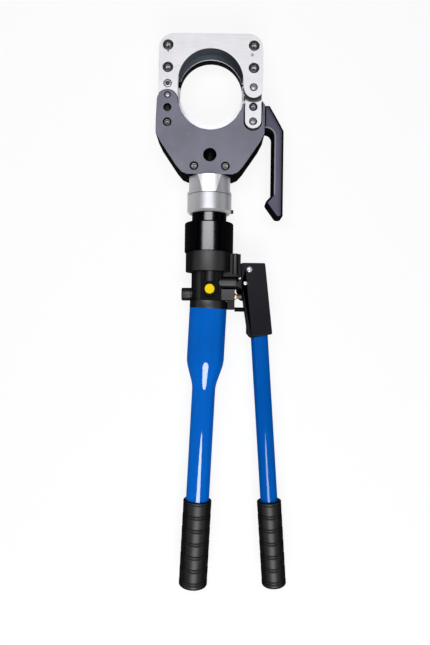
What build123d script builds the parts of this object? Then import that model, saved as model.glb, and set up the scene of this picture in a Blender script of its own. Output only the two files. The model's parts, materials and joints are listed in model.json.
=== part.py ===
# Hand-pumped hydraulic cable cutter, lying on its back.
# +X is the tool's right, +Y runs from the grips to the cutting head, +Z is up, out of the head's front.
# The origin lies on the head's flat rear face, on the tool's long axis, behind the blade pin.
# Sizes named _y are read along the tool from the middle of its length; spot() takes them to the origin.
# All lengths are in millimetres.
import os
from math import cos, radians, sin

from build123d import *

os.makedirs("parts", exist_ok=True)

# Clearances
slip = 0.2  # flat faces that slide past each other
lap = 0.3  # tongue in its fork, links in their pockets
running = 0.05  # radial play of a pin or a rod in its hole

# Cutting head, heights along Y
aperture_d = 85.0
head_thick = 46.0
plate_bottom = 192.0
plate_arch_y = 293.0  # centre of the lower arch
plate_out = 15.0  # plates beyond the line of fasteners
plate_lip = 2.5  # foot of the plates beyond the neck
plate_foot_half = 37.0
plate_foot_rise = 3.0
plate_hip_half = 44.0
plate_hip_rise = 11.0
shoulder_y = 246.0
shoulder_in = 6.0
shoulder_drop = 12.0
flank_rise = 17.0  # straight part of the left flank
arm_top = 288.0
tip_r = 13.7  # round end of the left arm
tip_shift = 0.2
tip_y = 288.3
side_in = 10.0  # line of the fasteners on both arms, beyond the blade
blade_thick = 6.0
blade_half = 46.0
blade_edge_y = 264.5  # lowest point of the moving cutting edge at rest
horn_top = 297.0
blade_shank_bottom = 208.5
blade_shank_half = 7.5
blade_shank_rise = 1.4  # heights over the neck's lugs
blade_foot_half = 12.0
blade_foot_rise = 2.9
blade_taper_drop = 10.0
edge_land = 1.0  # flat left along the moving edge
guide_foot = 13.0
guide_hip = 49.0
guide_low_rise = 0.8
guide_tip_rise = 2.4
blade_pin_y = 217.6
blade_pin_r = 3.0
access_hole_r = 8.4
neck_lug_top = 212.6
neck_lug_half = 27.0
neck_lug_thick = 16.0

# Gate, links and latch side
gate_out = 11.7  # gate beyond the line of fasteners
gate_top = 375.0
gate_corner = 19.5
gate_arch_y = 313.3
fixed_edge_drop = 5.0  # how far the fixed cutting edge stands below the gate's arch
tongue_thick = 30.0
tongue_bottom = 266.0
tongue_top = 321.6
tongue_round = 4.0
fork_side = 1.4  # how far the fork runs into the blade's channel
fork_floor = 1.5
fork_reach = 5.0
leg_gap = 2.0
pocket_step = 13.0  # height over the lower link pin where the pocket opens inwards
hinge_y = 306.0
hinge_pin_r = 5.1
hinge_sleeve_r = 7.0
gate_tip_y = 290.4
link_low_y = 263.0
link_screw_y = 282.0
link_half = 10.8
link_thick = 4.0
pocket_gap = 1.0  # pocket around the link
pocket_left = 0.7
pocket_low = 1.5
lock_bore_y = 278.6
lock_bore_r = 5.0
detent_y = 295.0
detent_r = 4.0

# Screws
m8_r = 4.0
m8_head_r = 6.5
m8_head = 8.0
m6_r = 3.0
m6_head_r = 5.0
m6_head = 6.0
m5_r = 2.5
m5_head_r = 4.25
head_play = 0.4  # counterbore radius beyond the screw head
sunk = 0.5  # how deep a screw head lies below the face
socket_wall = 0.4  # hexagon sockets are this much smaller than the shank
screw_short = 1.0  # frame screws and blade pin stop this far inside
blind = 2.0  # wall left under a blind thread
over = 1.0  # how far a cut runs past the face it opens
gate_screw_ys = (331.0, 360.0)
tongue_screw_y = 310.0
frame_screw_y = 259.6
lug_screw_x = 20.4
lug_screw_y = 203.0

# Side handle
handle_thick = 26.0
handle_out = 26.2  # beyond the plates
handle_grip = 15.0
handle_low = 138.2
handle_top = 286.9
handle_brow = 7.4  # length of the top edge
handle_edge = 3.0
handle_round = 4.5  # larger than the edge's chamfer
handle_crest = 253.8
handle_toe = 6.0
handle_heel = 9.0
handle_heel_rise = 20.4
handle_grip_rise = 30.2
handle_arch = 254.2
handle_arch_r = 9.0
handle_screw_ys = (261.5, 276.0)
handle_screw_z = 5.0  # height above the tool's axis
handle_screw_in = 8.5  # thread in the plate
handle_seat = 6.0  # handle wall under the screw heads

# Neck, cylinder and ram
neck_top_d = 55.0
neck_d = 59.0
neck_step_y = 172.0
neck_bottom = 144.0
neck_edge = 3.0
neck_roof = 5.7  # wall over the end of the barrel
set_screw_r = 2.5
set_screw_y = 148.0
set_screw_out = 2.6
groove_depth = 2.0
barrel_d = 46.0
barrel_bore = 34.0
barrel_bottom = 74.0
sleeve_d = 65.0
sleeve_bottom = 93.0
sleeve_top = 131.5
sleeve_edge = 2.0
piston_thick = 16.0
piston_start = 75.0
seal_width = 5.0
seal_depth = 3.0
rod_d = 20.0
rod_hollow_d = 13.0
rod_top = 226.0
rod_channel = 0.3  # play of the rod between the plates
wiper_thick = 3.0
spring_r = 4.6
spring_wire = 1.6
spring_pitch = 5.0
spring_turns = 21
spring_foot = 84.0
anchor_r = 3.5
anchor_head_r = 5.6

# Cast pump body
collar_r = 30.7
collar_bottom = 66.6
core_r = 22.8
plug_r = 8.6
plug_y = 37.0
plug_seat = 24.0
plug_end = 35.7
plug_spigot_r = 5.0
plug_spigot = 10.0
boss_half = 11.3
boss_low = 29.0
stem_boss_r = 7.0
button_x = 2.0
button_y = 43.0
button_r = 6.3
button_top = 31.0  # height above the tool's axis
button_len = 15.0
button_edge = 1.0
ring_r = 9.4
ring_top = 27.6
ring_seat = 23.2
button_spring_r = 4.4
button_spring_wire = 1.0
button_spring_len = 6.5
button_spring_turns = 2.5
plunger_y = 51.7
plunger_r = 6.0
plunger_start = 10.0
bore_tail = 2.0
pump_r = 9.5
eye_r = 8.0
eye_half = 5.0
eye_shift = 0.35  # the wrist pin rises and dips as the lever swings
eye_float = 2.7
gland_r = 8.0
gland_seat = 33.0
gland_end = 40.5
pump_face = 35.0  # right-hand face of the pump block
block_half = 15.0  # half the block's height along Z
block_top = 43.7
valve_y = 34.5
seat_r = 4.5
seat_thick = 2.2
stem_r = 2.8
stem_root = 25.0
stem_end = 44.5
cartridge_r = 3.5
cartridge_len = 11.0
cartridge_x = 12.5
passage_r = 2.2
suction_top = 40.0
delivery_low = 62.5
foot_left = 25.2
foot_top = 28.8
foot_bottom = 17.0
lug_half = 7.0
lug_base_half = 12.0
lug_base_x = 38.8
lug_edge_x = 42.7
lug_top = 91.0
lug_low = 60.0
lug_root = 18.0  # the lug starts inside the core
lug_round = 8.5

# Reservoir handle, measured along its own leaning axis from the tube's top
tube_lean = 2.47
tube_axis_y = 16.5  # where the leaning axis meets the tool's axis
flange_r = 23.7
flange_rise = 10.5
flange_foot = 1.5
flange_edge = 2.5
spigot_r = 20.0
spigot_len = 12.0
tube_r = 24.8
tube_wall = 2.5
tube_straight = 71.1
cone_len = 30.4
handle_tube_r = 15.5
tube_end = 362.7
bladder_r = 18.0
bladder_wall = 2.0
bladder_len = 66.0
grip_r = 19.0
grip_len = 114.8
grip_cap = 6.8  # rubber beyond the tube's end
groove_count = 6
groove_pitch = 17.5
groove_first = 17.8
groove_width = 3.2
groove_deep = 1.3
grip_round = 3.0

# Pump lever
pivot_x = 54.0
pivot_y = 69.8
pivot_r = 4.6
wrist_x = 48.6
wrist_y = plunger_y
wrist_r = 3.8
wrist_play = 0.3
lever_half = 14.0
lever_left = 43.2
lever_right = 74.6
lever_top = 78.6
lever_round = 2.0
lever_foot_right = 85.2
lever_foot_left = 56.4
lever_heel_x = 52.0
lever_knee_x = 48.4
lever_waist_x = 45.8
lever_mid_x = 44.2
lever_heel_rise = 6.0
lever_sole = 0.6
lever_waist_drop = 3.0
lever_slot_x = 63.5
lever_slot_y = 26.0
lever_lean = 4.1
lever_foot_x = 69.25
lever_foot_y = -21.0
lever_tube_r = 11.45
lever_tube_wall = 2.2
lever_socket = 34.0
lever_tube_end = 324.6
lever_grip_r = 16.3
lever_grip_len = 112.9
lever_grip_cap = 5.9
peg_r = 2.9
peg_y = 17.3
peg_root = 53.0
peg_gap = 0.3

# Values worked out from the sizes above
face = head_thick / 2
axis_z = face  # height of the tool's axis over the head's rear face
arch_r = aperture_d / 2
side_x = blade_half + side_in
plate_half = side_x + plate_out
gate_half = side_x + gate_out
handle_reach = plate_half + handle_out
handle_inner = handle_reach - handle_grip
handle_screw_tip = plate_half - handle_screw_in
mid_low = -blade_thick - slip
mid_thick = blade_thick + 2 * slip
plate_front = face - slip
plate_rear = face + mid_low
tongue_half = tongue_thick / 2
link_out = tongue_half + link_thick
cheek = link_out + slip
channel_half = blade_half + 2 * slip
tip_x = -side_x - tip_shift
blade_arch_y = blade_edge_y + arch_r
leg_low_left = tongue_top
leg_low_right = hinge_y + link_half + leg_gap
gate_tip_r = (gate_half - arch_r) / 2
gate_tip_x = (gate_half + arch_r) / 2
rest_up = (Align.CENTER, Align.CENTER, Align.MIN)
barrel_top = plate_bottom - neck_roof - wiper_thick - slip
seal_low = piston_start + (piston_thick - seal_width) / 2
rod_hollow_top = spring_foot + spring_pitch * spring_turns + spring_wire
blade_pin_half = rod_d / 2 - screw_short
gate_screw_spots = [(x, y) for x in (-side_x, side_x) for y in gate_screw_ys]
lug_screw_spots = [(-lug_screw_x, lug_screw_y), (lug_screw_x, lug_screw_y)]
frame_screw_spots = lug_screw_spots + [(-side_x, frame_screw_y)]
button_floor = button_top - button_len - button_spring_len
grip_end = tube_end + grip_cap
grip_start = grip_end - grip_len
lever_grip_end = lever_tube_end + lever_grip_cap
lever_grip_start = lever_grip_end - lever_grip_len
deep = tube_end + lever_tube_end  # longer than any cut needs


def spot(x, y, height=0.0):
    """Point given by x, the reading y along the tool and a height over the tool's axis."""
    return (x, y - blade_pin_y, axis_z + height)


def level(height):
    """Plane parallel to the floor, at a height measured from the tool's axis."""
    return Plane(origin=spot(0, 0, height), x_dir=(1, 0, 0), z_dir=(0, 0, 1))


def across(y):
    """Plane square to the tool's axis at y; its normal points to the head."""
    return Plane(origin=spot(0, y), x_dir=(1, 0, 0), z_dir=(0, 1, 0))


def facing_right(x, y, height=0.0):
    """Plane square to X at a point; its normal points to the tool's right."""
    return Plane(origin=spot(x, y, height), x_dir=(0, 1, 0), z_dir=(1, 0, 0))


def finish(piece, name):
    """Label a finished piece and write its file."""
    piece.part.label = name
    export_step(piece.part, f"parts/{name}.step")


# Leaning axes of the two handles; both planes' normals point to the grips
tube_way = (-sin(radians(tube_lean)), -cos(radians(tube_lean)), 0)
tube_plane = Plane(origin=spot(0, tube_axis_y), x_dir=(0, 0, 1), z_dir=tube_way)
lever_way = (sin(radians(lever_lean)), -cos(radians(lever_lean)), 0)
lever_plane = Plane(origin=spot(lever_foot_x, lever_foot_y), x_dir=(0, 0, 1), z_dir=lever_way)

# Outline of the dark side plates, without the arch
with BuildSketch() as plate_outline:
    with BuildLine():
        Polyline(
            (-neck_top_d / 2 - plate_lip, plate_bottom),
            (neck_top_d / 2 + plate_lip, plate_bottom),
            (plate_foot_half, plate_bottom + plate_foot_rise),
            (plate_hip_half, plate_bottom + plate_hip_rise),
            (plate_half - shoulder_in, shoulder_y - shoulder_drop),
            (plate_half, shoulder_y),
            (plate_half, handle_top),
            (side_x + link_half, arm_top),
            (tip_x, arm_top),
            (tip_x - tip_r, tip_y),
            (-plate_half, shoulder_y + flank_rise),
            (-plate_half, shoulder_y),
            (shoulder_in - plate_half, shoulder_y - shoulder_drop),
            (-plate_hip_half, plate_bottom + plate_hip_rise),
            (-plate_foot_half, plate_bottom + plate_foot_rise),
            close=True,
        )
    make_face()
    with Locations((tip_x, tip_y)):
        Circle(tip_r)
    with Locations((0, plate_arch_y)):
        Circle(arch_r, mode=Mode.SUBTRACT)

# Pocket for the link on the right arm, open towards the gate
with BuildSketch() as link_pocket:
    with Locations((side_x - pocket_left, link_low_y - pocket_low)):
        Circle(link_half + pocket_gap)
        Rectangle(2 * (link_half + pocket_gap), deep, align=(Align.CENTER, Align.MIN))
    with Locations((side_x - link_half, link_low_y + pocket_step)):
        Rectangle(arch_r, deep, align=(Align.MAX, Align.MIN))

# Fork in the left arm that takes the gate's tongue
with BuildSketch() as fork_slot:
    with Locations((fork_side - channel_half, tongue_bottom - fork_floor)):
        Rectangle(plate_half, deep, align=(Align.MAX, Align.MIN))
    with Locations((fork_reach - arch_r, arm_top)):
        Rectangle(plate_half, deep, align=(Align.MAX, Align.MIN))

# Holes that run through both plates
with BuildSketch() as plate_holes:
    with Locations(*frame_screw_spots, (side_x, link_screw_y)):
        Circle(m6_r)
    with Locations((side_x, link_low_y)):
        Circle(hinge_pin_r)
    with Locations((-side_x, lock_bore_y)):
        Circle(lock_bore_r)
    with Locations((-side_x, detent_y)):
        Circle(detent_r)

# Front side plate
with BuildPart() as front_side_plate:
    with BuildSketch(level(slip)):
        add(plate_outline.sketch)
    extrude(amount=plate_front)
    with BuildSketch(level(slip)):
        add(fork_slot.sketch)
    extrude(amount=tongue_half + lap - slip, mode=Mode.SUBTRACT)
    with BuildSketch(level(tongue_half)):
        add(link_pocket.sketch)
    extrude(amount=face, mode=Mode.SUBTRACT)
    with Locations(spot(0, plate_bottom)):
        Cylinder(rod_d / 2 + rod_channel, deep, rotation=(90, 0, 0), mode=Mode.SUBTRACT)
        Box(2 * neck_lug_half, 2 * (neck_lug_top - plate_bottom), neck_lug_thick, mode=Mode.SUBTRACT)
    with BuildSketch(level(0)):
        with Locations((0, blade_pin_y)):
            Circle(access_hole_r)
        add(plate_holes.sketch)
    extrude(amount=face, mode=Mode.SUBTRACT)
    with BuildSketch(level(face - sunk - m6_head)):
        with Locations(*frame_screw_spots):
            Circle(m6_head_r + head_play)
    extrude(amount=face, mode=Mode.SUBTRACT)
    for screw_y in handle_screw_ys:
        with BuildSketch(facing_right(handle_screw_tip, screw_y, handle_screw_z)):
            Circle(m5_r)
        extrude(amount=plate_half, mode=Mode.SUBTRACT)
finish(front_side_plate, "front_side_plate")

# Rear side plate, thinner by the blade's thickness
with BuildPart() as rear_side_plate:
    with BuildSketch(level(-face)):
        add(plate_outline.sketch)
    extrude(amount=plate_rear)
    with BuildSketch(level(-tongue_half - lap)):
        add(fork_slot.sketch)
    extrude(amount=tongue_half, mode=Mode.SUBTRACT)
    with BuildSketch(level(-tongue_half)):
        add(link_pocket.sketch)
    extrude(amount=-face, mode=Mode.SUBTRACT)
    with Locations(spot(0, plate_bottom)):
        Cylinder(rod_d / 2 + rod_channel, deep, rotation=(90, 0, 0), mode=Mode.SUBTRACT)
        Box(2 * neck_lug_half, 2 * (neck_lug_top - plate_bottom), neck_lug_thick, mode=Mode.SUBTRACT)
    with BuildSketch(level(-face)):
        add(plate_holes.sketch)
    extrude(amount=face, mode=Mode.SUBTRACT)
finish(rear_side_plate, "rear_side_plate")

# Blade guides fill the gap between the plates on both sides of the blade
for side, guide_top, guide_name in (
    (-1, tongue_bottom - fork_floor, "left_blade_guide"),
    (1, arm_top, "right_blade_guide"),
):
    with BuildPart() as blade_guide:
        with BuildSketch(level(mid_low)):
            with BuildLine():
                Polyline(
                    (side * guide_foot, neck_lug_top + guide_low_rise),
                    (side * guide_hip, neck_lug_top + guide_low_rise),
                    (side * (plate_half - shoulder_in), shoulder_y - shoulder_drop),
                    (side * plate_half, shoulder_y),
                    (side * plate_half, min(guide_top, handle_top)),
                    (side * (side_x + link_half), guide_top),
                    (side * channel_half, guide_top),
                    (side * channel_half, shoulder_y - blade_taper_drop - 2 * lap),
                    (side * guide_foot, neck_lug_top + guide_tip_rise),
                    close=True,
                )
            make_face()
            with Locations((-side_x, frame_screw_y), (side_x, link_screw_y)):
                Circle(m6_r, mode=Mode.SUBTRACT)
            with Locations((side_x, link_low_y)):
                Circle(hinge_pin_r, mode=Mode.SUBTRACT)
        extrude(amount=mid_thick)
    finish(blade_guide, guide_name)

# Socket screws through both plates and the neck's lugs
with BuildPart() as frame_screws:
    with BuildSketch(level(face - sunk - m6_head)):
        with Locations(*frame_screw_spots):
            Circle(m6_head_r)
    extrude(amount=m6_head)
    with BuildSketch(level(screw_short - face)):
        with Locations(*frame_screw_spots):
            Circle(m6_r)
    extrude(amount=head_thick - screw_short - sunk - m6_head)
    with BuildSketch(level(face - sunk - m6_head / 2)):
        with Locations(*frame_screw_spots):
            RegularPolygon(m6_r - socket_wall, 6)
    extrude(amount=m6_head, mode=Mode.SUBTRACT)
finish(frame_screws, "frame_screws")

# Moving blade: concave edge between two horns, tapering to a shank in the rod
with BuildPart() as moving_blade:
    with BuildSketch(level(-blade_thick)):
        with BuildLine():
            Polyline(
                (-blade_shank_half, blade_shank_bottom),
                (blade_shank_half, blade_shank_bottom),
                (blade_shank_half, neck_lug_top + blade_shank_rise),
                (blade_foot_half, neck_lug_top + blade_foot_rise),
                (blade_half, shoulder_y - blade_taper_drop),
                (blade_half, horn_top),
                (-blade_half, horn_top),
                (-blade_half, shoulder_y - blade_taper_drop),
                (-blade_foot_half, neck_lug_top + blade_foot_rise),
                (-blade_shank_half, neck_lug_top + blade_shank_rise),
                close=True,
            )
        make_face()
        with Locations((0, blade_arch_y)):
            Circle(arch_r, mode=Mode.SUBTRACT)
        with Locations((0, blade_pin_y)):
            Circle(blade_pin_r, mode=Mode.SUBTRACT)
    extrude(amount=blade_thick)
    edge_line = moving_blade.edges().filter_by(GeomType.CIRCLE).filter_by(lambda e: e.radius == arch_r)
    chamfer(edge_line.sort_by(Axis.Z)[0], blade_thick - edge_land, fixed_edge_drop)
finish(moving_blade, "moving_blade")

# Gate outline, without its lower ends
with BuildSketch() as gate_outline:
    with Locations((0, gate_top)):
        Rectangle(2 * gate_half, gate_top - gate_tip_y, align=(Align.CENTER, Align.MAX))
    fillet(gate_outline.vertices().group_by(Axis.Y)[-1], gate_corner)
    with Locations((0, gate_arch_y)):
        Circle(arch_r, mode=Mode.SUBTRACT)
        Rectangle(aperture_d, deep, align=(Align.CENTER, Align.MAX), mode=Mode.SUBTRACT)

# Lower ends of the outer gate plates: hollow round the left arm, rounded at the hinge
with BuildSketch() as gate_ends:
    with Locations((tip_x, tip_y)):
        Circle(tip_r + lap)
        Rectangle(2 * (tip_r + lap), deep, align=(Align.CENTER, Align.MAX))
    with Locations((gate_tip_x, gate_tip_y)):
        Rectangle(2 * gate_tip_r + over, gate_tip_r, align=(Align.CENTER, Align.MIN))
    with Locations((gate_tip_x, gate_tip_y + gate_tip_r)):
        Circle(gate_tip_r, mode=Mode.SUBTRACT)

# Gate plates: front one counterbored, rear one threaded
for side, gate_name in ((1, "gate_front_plate"), (-1, "gate_rear_plate")):
    with BuildPart() as gate_plate:
        with BuildSketch(level(side * (blade_thick + slip))):
            add(gate_outline.sketch)
            add(gate_ends.sketch, mode=Mode.SUBTRACT)
        extrude(amount=side * (face - blade_thick - slip))
        with BuildSketch(level(0)):
            with Locations((-gate_half, leg_low_left)):
                Rectangle(gate_half, deep, align=(Align.MIN, Align.MAX))
        extrude(amount=side * tongue_half, mode=Mode.SUBTRACT)
        with BuildSketch(level(0)):
            with Locations((gate_half, leg_low_right)):
                Rectangle(gate_half, deep, align=(Align.MAX, Align.MAX))
        extrude(amount=side * cheek, mode=Mode.SUBTRACT)
        with BuildSketch(level(0)):
            with Locations((side_x, hinge_y)):
                Circle(hinge_pin_r + running)
        extrude(amount=side * face, mode=Mode.SUBTRACT)
        if side > 0:
            with BuildSketch(level(0)):
                with Locations(*gate_screw_spots):
                    Circle(m8_r)
                with Locations((-side_x, tongue_screw_y)):
                    Circle(m6_r)
            extrude(amount=face, mode=Mode.SUBTRACT)
            with BuildSketch(level(face)):
                with Locations(*gate_screw_spots):
                    Circle(m8_head_r + head_play)
            extrude(amount=-m8_head - sunk, mode=Mode.SUBTRACT)
            with BuildSketch(level(face)):
                with Locations((-side_x, tongue_screw_y)):
                    Circle(m6_head_r + head_play)
            extrude(amount=-m6_head - sunk, mode=Mode.SUBTRACT)
        else:
            with BuildSketch(level(blind - face)):
                with Locations(*gate_screw_spots):
                    Circle(m8_r)
            extrude(amount=face, mode=Mode.SUBTRACT)
    finish(gate_plate, gate_name)

# Fixed blade behind the front gate plate; its bevel runs down to the edge at the shear plane
with BuildPart() as fixed_blade:
    with BuildSketch(level(slip)) as blade_blank:
        with Locations((0, gate_top)):
            Rectangle(2 * gate_half, gate_top - leg_low_right, align=(Align.CENTER, Align.MAX))
        fillet(blade_blank.vertices().group_by(Axis.Y)[-1], gate_corner)
        with Locations((-gate_half, leg_low_left)):
            Rectangle(gate_half, deep, align=(Align.MIN, Align.MAX), mode=Mode.SUBTRACT)
        with Locations(*gate_screw_spots):
            Circle(m8_r, mode=Mode.SUBTRACT)
    extrude(amount=blade_thick)
    with BuildSketch(level(slip)):
        with Locations((0, gate_arch_y - fixed_edge_drop)):
            Circle(arch_r)
            Rectangle(aperture_d, deep, align=(Align.CENTER, Align.MAX))
    bevel = Vector(0, fixed_edge_drop, blade_thick)
    extrude(amount=bevel.length, dir=bevel.normalized(), mode=Mode.SUBTRACT)
finish(fixed_blade, "fixed_blade")

# Spacers keep the moving blade's channel open in both legs of the gate
for side, leg_low, spacer_name in (
    (-1, leg_low_left, "left_gate_spacer"),
    (1, leg_low_right, "right_gate_spacer"),
):
    with BuildPart() as gate_spacer:
        with BuildSketch(level(mid_low)):
            add(gate_outline.sketch)
            with Locations((side * (channel_half + gate_half) / 2, leg_low)):
                leg_wide = gate_half - channel_half
                Rectangle(leg_wide, deep, align=(Align.CENTER, Align.MIN), mode=Mode.INTERSECT)
            with Locations(*gate_screw_spots):
                Circle(m8_r, mode=Mode.SUBTRACT)
        extrude(amount=mid_thick)
    finish(gate_spacer, spacer_name)

# Tongue of the gate, between the left arm's two cheeks
with BuildPart() as gate_tongue:
    with BuildSketch(level(-tongue_half)) as tongue_face:
        with Locations((-gate_half, tongue_bottom)):
            tongue_wide = gate_half - channel_half - lap
            Rectangle(tongue_wide, tongue_top - tongue_bottom, align=(Align.MIN, Align.MIN))
        fillet(tongue_face.vertices().group_by(Axis.Y)[0], tongue_round)
        with Locations((-side_x, lock_bore_y)):
            Circle(lock_bore_r, mode=Mode.SUBTRACT)
    extrude(amount=tongue_thick)
    with BuildSketch(level(blind - tongue_half)):
        with Locations((-side_x, tongue_screw_y)):
            Circle(m6_r)
    extrude(amount=tongue_thick, mode=Mode.SUBTRACT)
finish(gate_tongue, "gate_tongue")

# Screws that clamp the gate's plates
with BuildPart() as gate_screws:
    with BuildSketch(level(blind - face)):
        with Locations(*gate_screw_spots):
            Circle(m8_r)
    extrude(amount=head_thick - blind - sunk)
    with BuildSketch(level(face - sunk - m8_head)):
        with Locations(*gate_screw_spots):
            Circle(m8_head_r)
    extrude(amount=m8_head)
    with BuildSketch(level(face - sunk - m8_head / 2)):
        with Locations(*gate_screw_spots):
            RegularPolygon(m8_r - socket_wall, 6)
    extrude(amount=m8_head, mode=Mode.SUBTRACT)
finish(gate_screws, "gate_screws")

# Screw that holds the tongue to the gate
with BuildPart() as tongue_screw:
    with BuildSketch(level(blind - tongue_half)):
        with Locations((-side_x, tongue_screw_y)):
            Circle(m6_r)
    extrude(amount=face + tongue_half - blind - sunk)
    with BuildSketch(level(face - sunk - m6_head)):
        with Locations((-side_x, tongue_screw_y)):
            Circle(m6_head_r)
    extrude(amount=m6_head)
    with BuildSketch(level(face - sunk - m6_head / 2)):
        with Locations((-side_x, tongue_screw_y)):
            RegularPolygon(m6_r - socket_wall, 6)
    extrude(amount=m6_head, mode=Mode.SUBTRACT)
finish(tongue_screw, "tongue_screw")

# Spring detents in the left cheeks, noses drawn back
with BuildPart() as gate_detents:
    for side in (1, -1):
        with BuildSketch(level(side * (tongue_half + lap))):
            with Locations((-side_x, detent_y)):
                Circle(detent_r)
        extrude(amount=side * (face - tongue_half - lap - sunk))
        with BuildSketch(level(side * (face - sunk))):
            with Locations((-side_x, detent_y)):
                RegularPolygon(detent_r / 2, 6)
        extrude(amount=-side * detent_r, mode=Mode.SUBTRACT)
finish(gate_detents, "gate_detents")

# Link straps that carry the gate's hinge pin
for side, link_name in ((1, "front_link"), (-1, "rear_link")):
    with BuildPart() as link:
        with BuildSketch(level(side * tongue_half)):
            with Locations((side_x, (hinge_y + link_low_y) / 2)):
                SlotCenterToCenter(hinge_y - link_low_y, 2 * link_half, rotation=90)
            with Locations((side_x, hinge_y), (side_x, link_low_y)):
                Circle(hinge_pin_r, mode=Mode.SUBTRACT)
            with Locations((side_x, link_screw_y)):
                Circle(m6_r, mode=Mode.SUBTRACT)
        extrude(amount=side * link_thick)
        if side > 0:
            with BuildSketch(level(link_out)):
                with Locations((side_x, link_screw_y)):
                    Circle(m6_head_r + head_play)
            extrude(amount=sunk - link_thick, mode=Mode.SUBTRACT)
    finish(link, link_name)

# Hinge pin and lower link pin
for pin_name, pin_y, pin_half in (("hinge_pin", hinge_y, face), ("link_pin", link_low_y, link_out)):
    with BuildPart() as head_pin:
        with BuildSketch(level(-pin_half)):
            with Locations((side_x, pin_y)):
                Circle(hinge_pin_r)
        extrude(amount=2 * pin_half)
    finish(head_pin, pin_name)

# Sleeve on the hinge pin, between the links
with BuildPart() as hinge_sleeve:
    with BuildSketch(level(-tongue_half)):
        with Locations((side_x, hinge_y)):
            Circle(hinge_sleeve_r)
            Circle(hinge_pin_r, mode=Mode.SUBTRACT)
    extrude(amount=tongue_thick)
finish(hinge_sleeve, "hinge_sleeve")

# Low-head screw through the links and the right arm
with BuildPart() as link_screw:
    with BuildSketch(level(-link_out)):
        with Locations((side_x, link_screw_y)):
            Circle(m6_r)
    extrude(amount=2 * link_out - sunk)
    with BuildSketch(level(link_out - link_thick + sunk)):
        with Locations((side_x, link_screw_y)):
            Circle(m6_head_r)
    extrude(amount=link_thick - 2 * sunk)
    with BuildSketch(level(link_out - sunk)):
        with Locations((side_x, link_screw_y)):
            RegularPolygon(m6_r - socket_wall, 6)
    extrude(amount=-link_thick / 2, mode=Mode.SUBTRACT)
finish(link_screw, "link_screw")

# Side handle bolted to the right flank of the head
with BuildPart() as side_handle:
    with BuildSketch(level(-handle_thick / 2)) as handle_shape:
        with BuildLine():
            Polyline(
                (plate_half, handle_arch),
                (plate_half, handle_top),
                (plate_half + handle_brow, handle_top),
                (handle_reach, handle_crest),
                (handle_reach, handle_low),
                (handle_inner + handle_toe, handle_low),
                (handle_inner - handle_heel, handle_low + handle_heel_rise),
                (handle_inner, handle_low + handle_grip_rise),
                (handle_inner, handle_arch),
                close=True,
            )
        make_face()
        arch_corner = handle_shape.vertices().sort_by_distance((handle_inner, handle_arch))[0]
        fillet(arch_corner, handle_arch_r)
        crest_corner = handle_shape.vertices().sort_by_distance((handle_reach, handle_crest))[0]
        fillet(crest_corner, handle_round)
        arch_foot = handle_arch - handle_arch_r - handle_round
        fillet(handle_shape.vertices().filter_by(lambda v: v.Y < arch_foot), handle_round)
    extrude(amount=handle_thick)
    rim = side_handle.faces().filter_by(Axis.Z).edges()
    chamfer(rim.filter_by(lambda e: e.center().X > plate_half + over), handle_edge)
    for screw_y in handle_screw_ys:
        with BuildSketch(facing_right(plate_half, screw_y, handle_screw_z)):
            Circle(m5_r)
        extrude(amount=handle_reach, mode=Mode.SUBTRACT)
        with BuildSketch(facing_right(plate_half + handle_seat, screw_y, handle_screw_z)):
            Circle(m5_head_r + head_play)
        extrude(amount=handle_reach, mode=Mode.SUBTRACT)
finish(side_handle, "side_handle")

# Handle screws, deep in the handle
with BuildPart() as handle_screws:
    for screw_y in handle_screw_ys:
        with BuildSketch(facing_right(handle_screw_tip, screw_y, handle_screw_z)):
            Circle(m5_r)
        extrude(amount=plate_half + handle_seat - handle_screw_tip)
        with BuildSketch(facing_right(plate_half + handle_seat, screw_y, handle_screw_z)):
            Circle(m5_head_r)
            RegularPolygon(m5_r - socket_wall, 6, mode=Mode.SUBTRACT)
        extrude(amount=2 * m5_r)
finish(handle_screws, "handle_screws")

# Neck: turned collar with two lugs that reach up between the side plates
with BuildPart() as neck:
    with BuildSketch(across(neck_bottom)):
        Circle(neck_d / 2)
    extrude(amount=neck_step_y - neck_bottom)
    chamfer(neck.edges().group_by(Axis.Y)[0], neck_edge)
    with BuildSketch(across(neck_step_y)):
        Circle(neck_top_d / 2)
    extrude(amount=plate_bottom - neck_step_y)
    with Locations(spot(0, plate_bottom)):
        Box(2 * neck_lug_half, neck_lug_top - plate_bottom, neck_lug_thick,
            align=(Align.CENTER, Align.MIN, Align.CENTER))
    with BuildSketch(across(plate_bottom)):
        Circle(rod_d / 2 + rod_channel)
    extrude(amount=neck_lug_top, mode=Mode.SUBTRACT)
    with BuildSketch(across(neck_bottom)):
        Circle(rod_d / 2 + running)
    extrude(amount=neck_lug_top, mode=Mode.SUBTRACT)
    with BuildSketch(across(neck_bottom)):
        Circle(barrel_d / 2 + running)
    extrude(amount=plate_bottom - neck_roof - neck_bottom, mode=Mode.SUBTRACT)
    with BuildSketch(level(-face)):
        with Locations(*lug_screw_spots):
            Circle(m6_r)
    extrude(amount=head_thick, mode=Mode.SUBTRACT)
    with BuildSketch(facing_right(0, set_screw_y)):
        Circle(set_screw_r)
    extrude(amount=neck_d, mode=Mode.SUBTRACT)
finish(neck, "neck")

# Set screw that rides in the barrel's groove and keeps the head on
with BuildPart() as neck_set_screw:
    with BuildSketch(facing_right(barrel_d / 2 - groove_depth + lap, set_screw_y)):
        Circle(set_screw_r)
    extrude(amount=neck_d / 2 + set_screw_out - barrel_d / 2 + groove_depth - lap)
finish(neck_set_screw, "neck_set_screw")

# Wiper ring under the neck's roof
with BuildPart() as rod_wiper:
    with BuildSketch(across(plate_bottom - neck_roof - wiper_thick)):
        Circle(barrel_d / 2 + running)
        Circle(rod_d / 2 + running, mode=Mode.SUBTRACT)
    extrude(amount=wiper_thick)
finish(rod_wiper, "rod_wiper")

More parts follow.
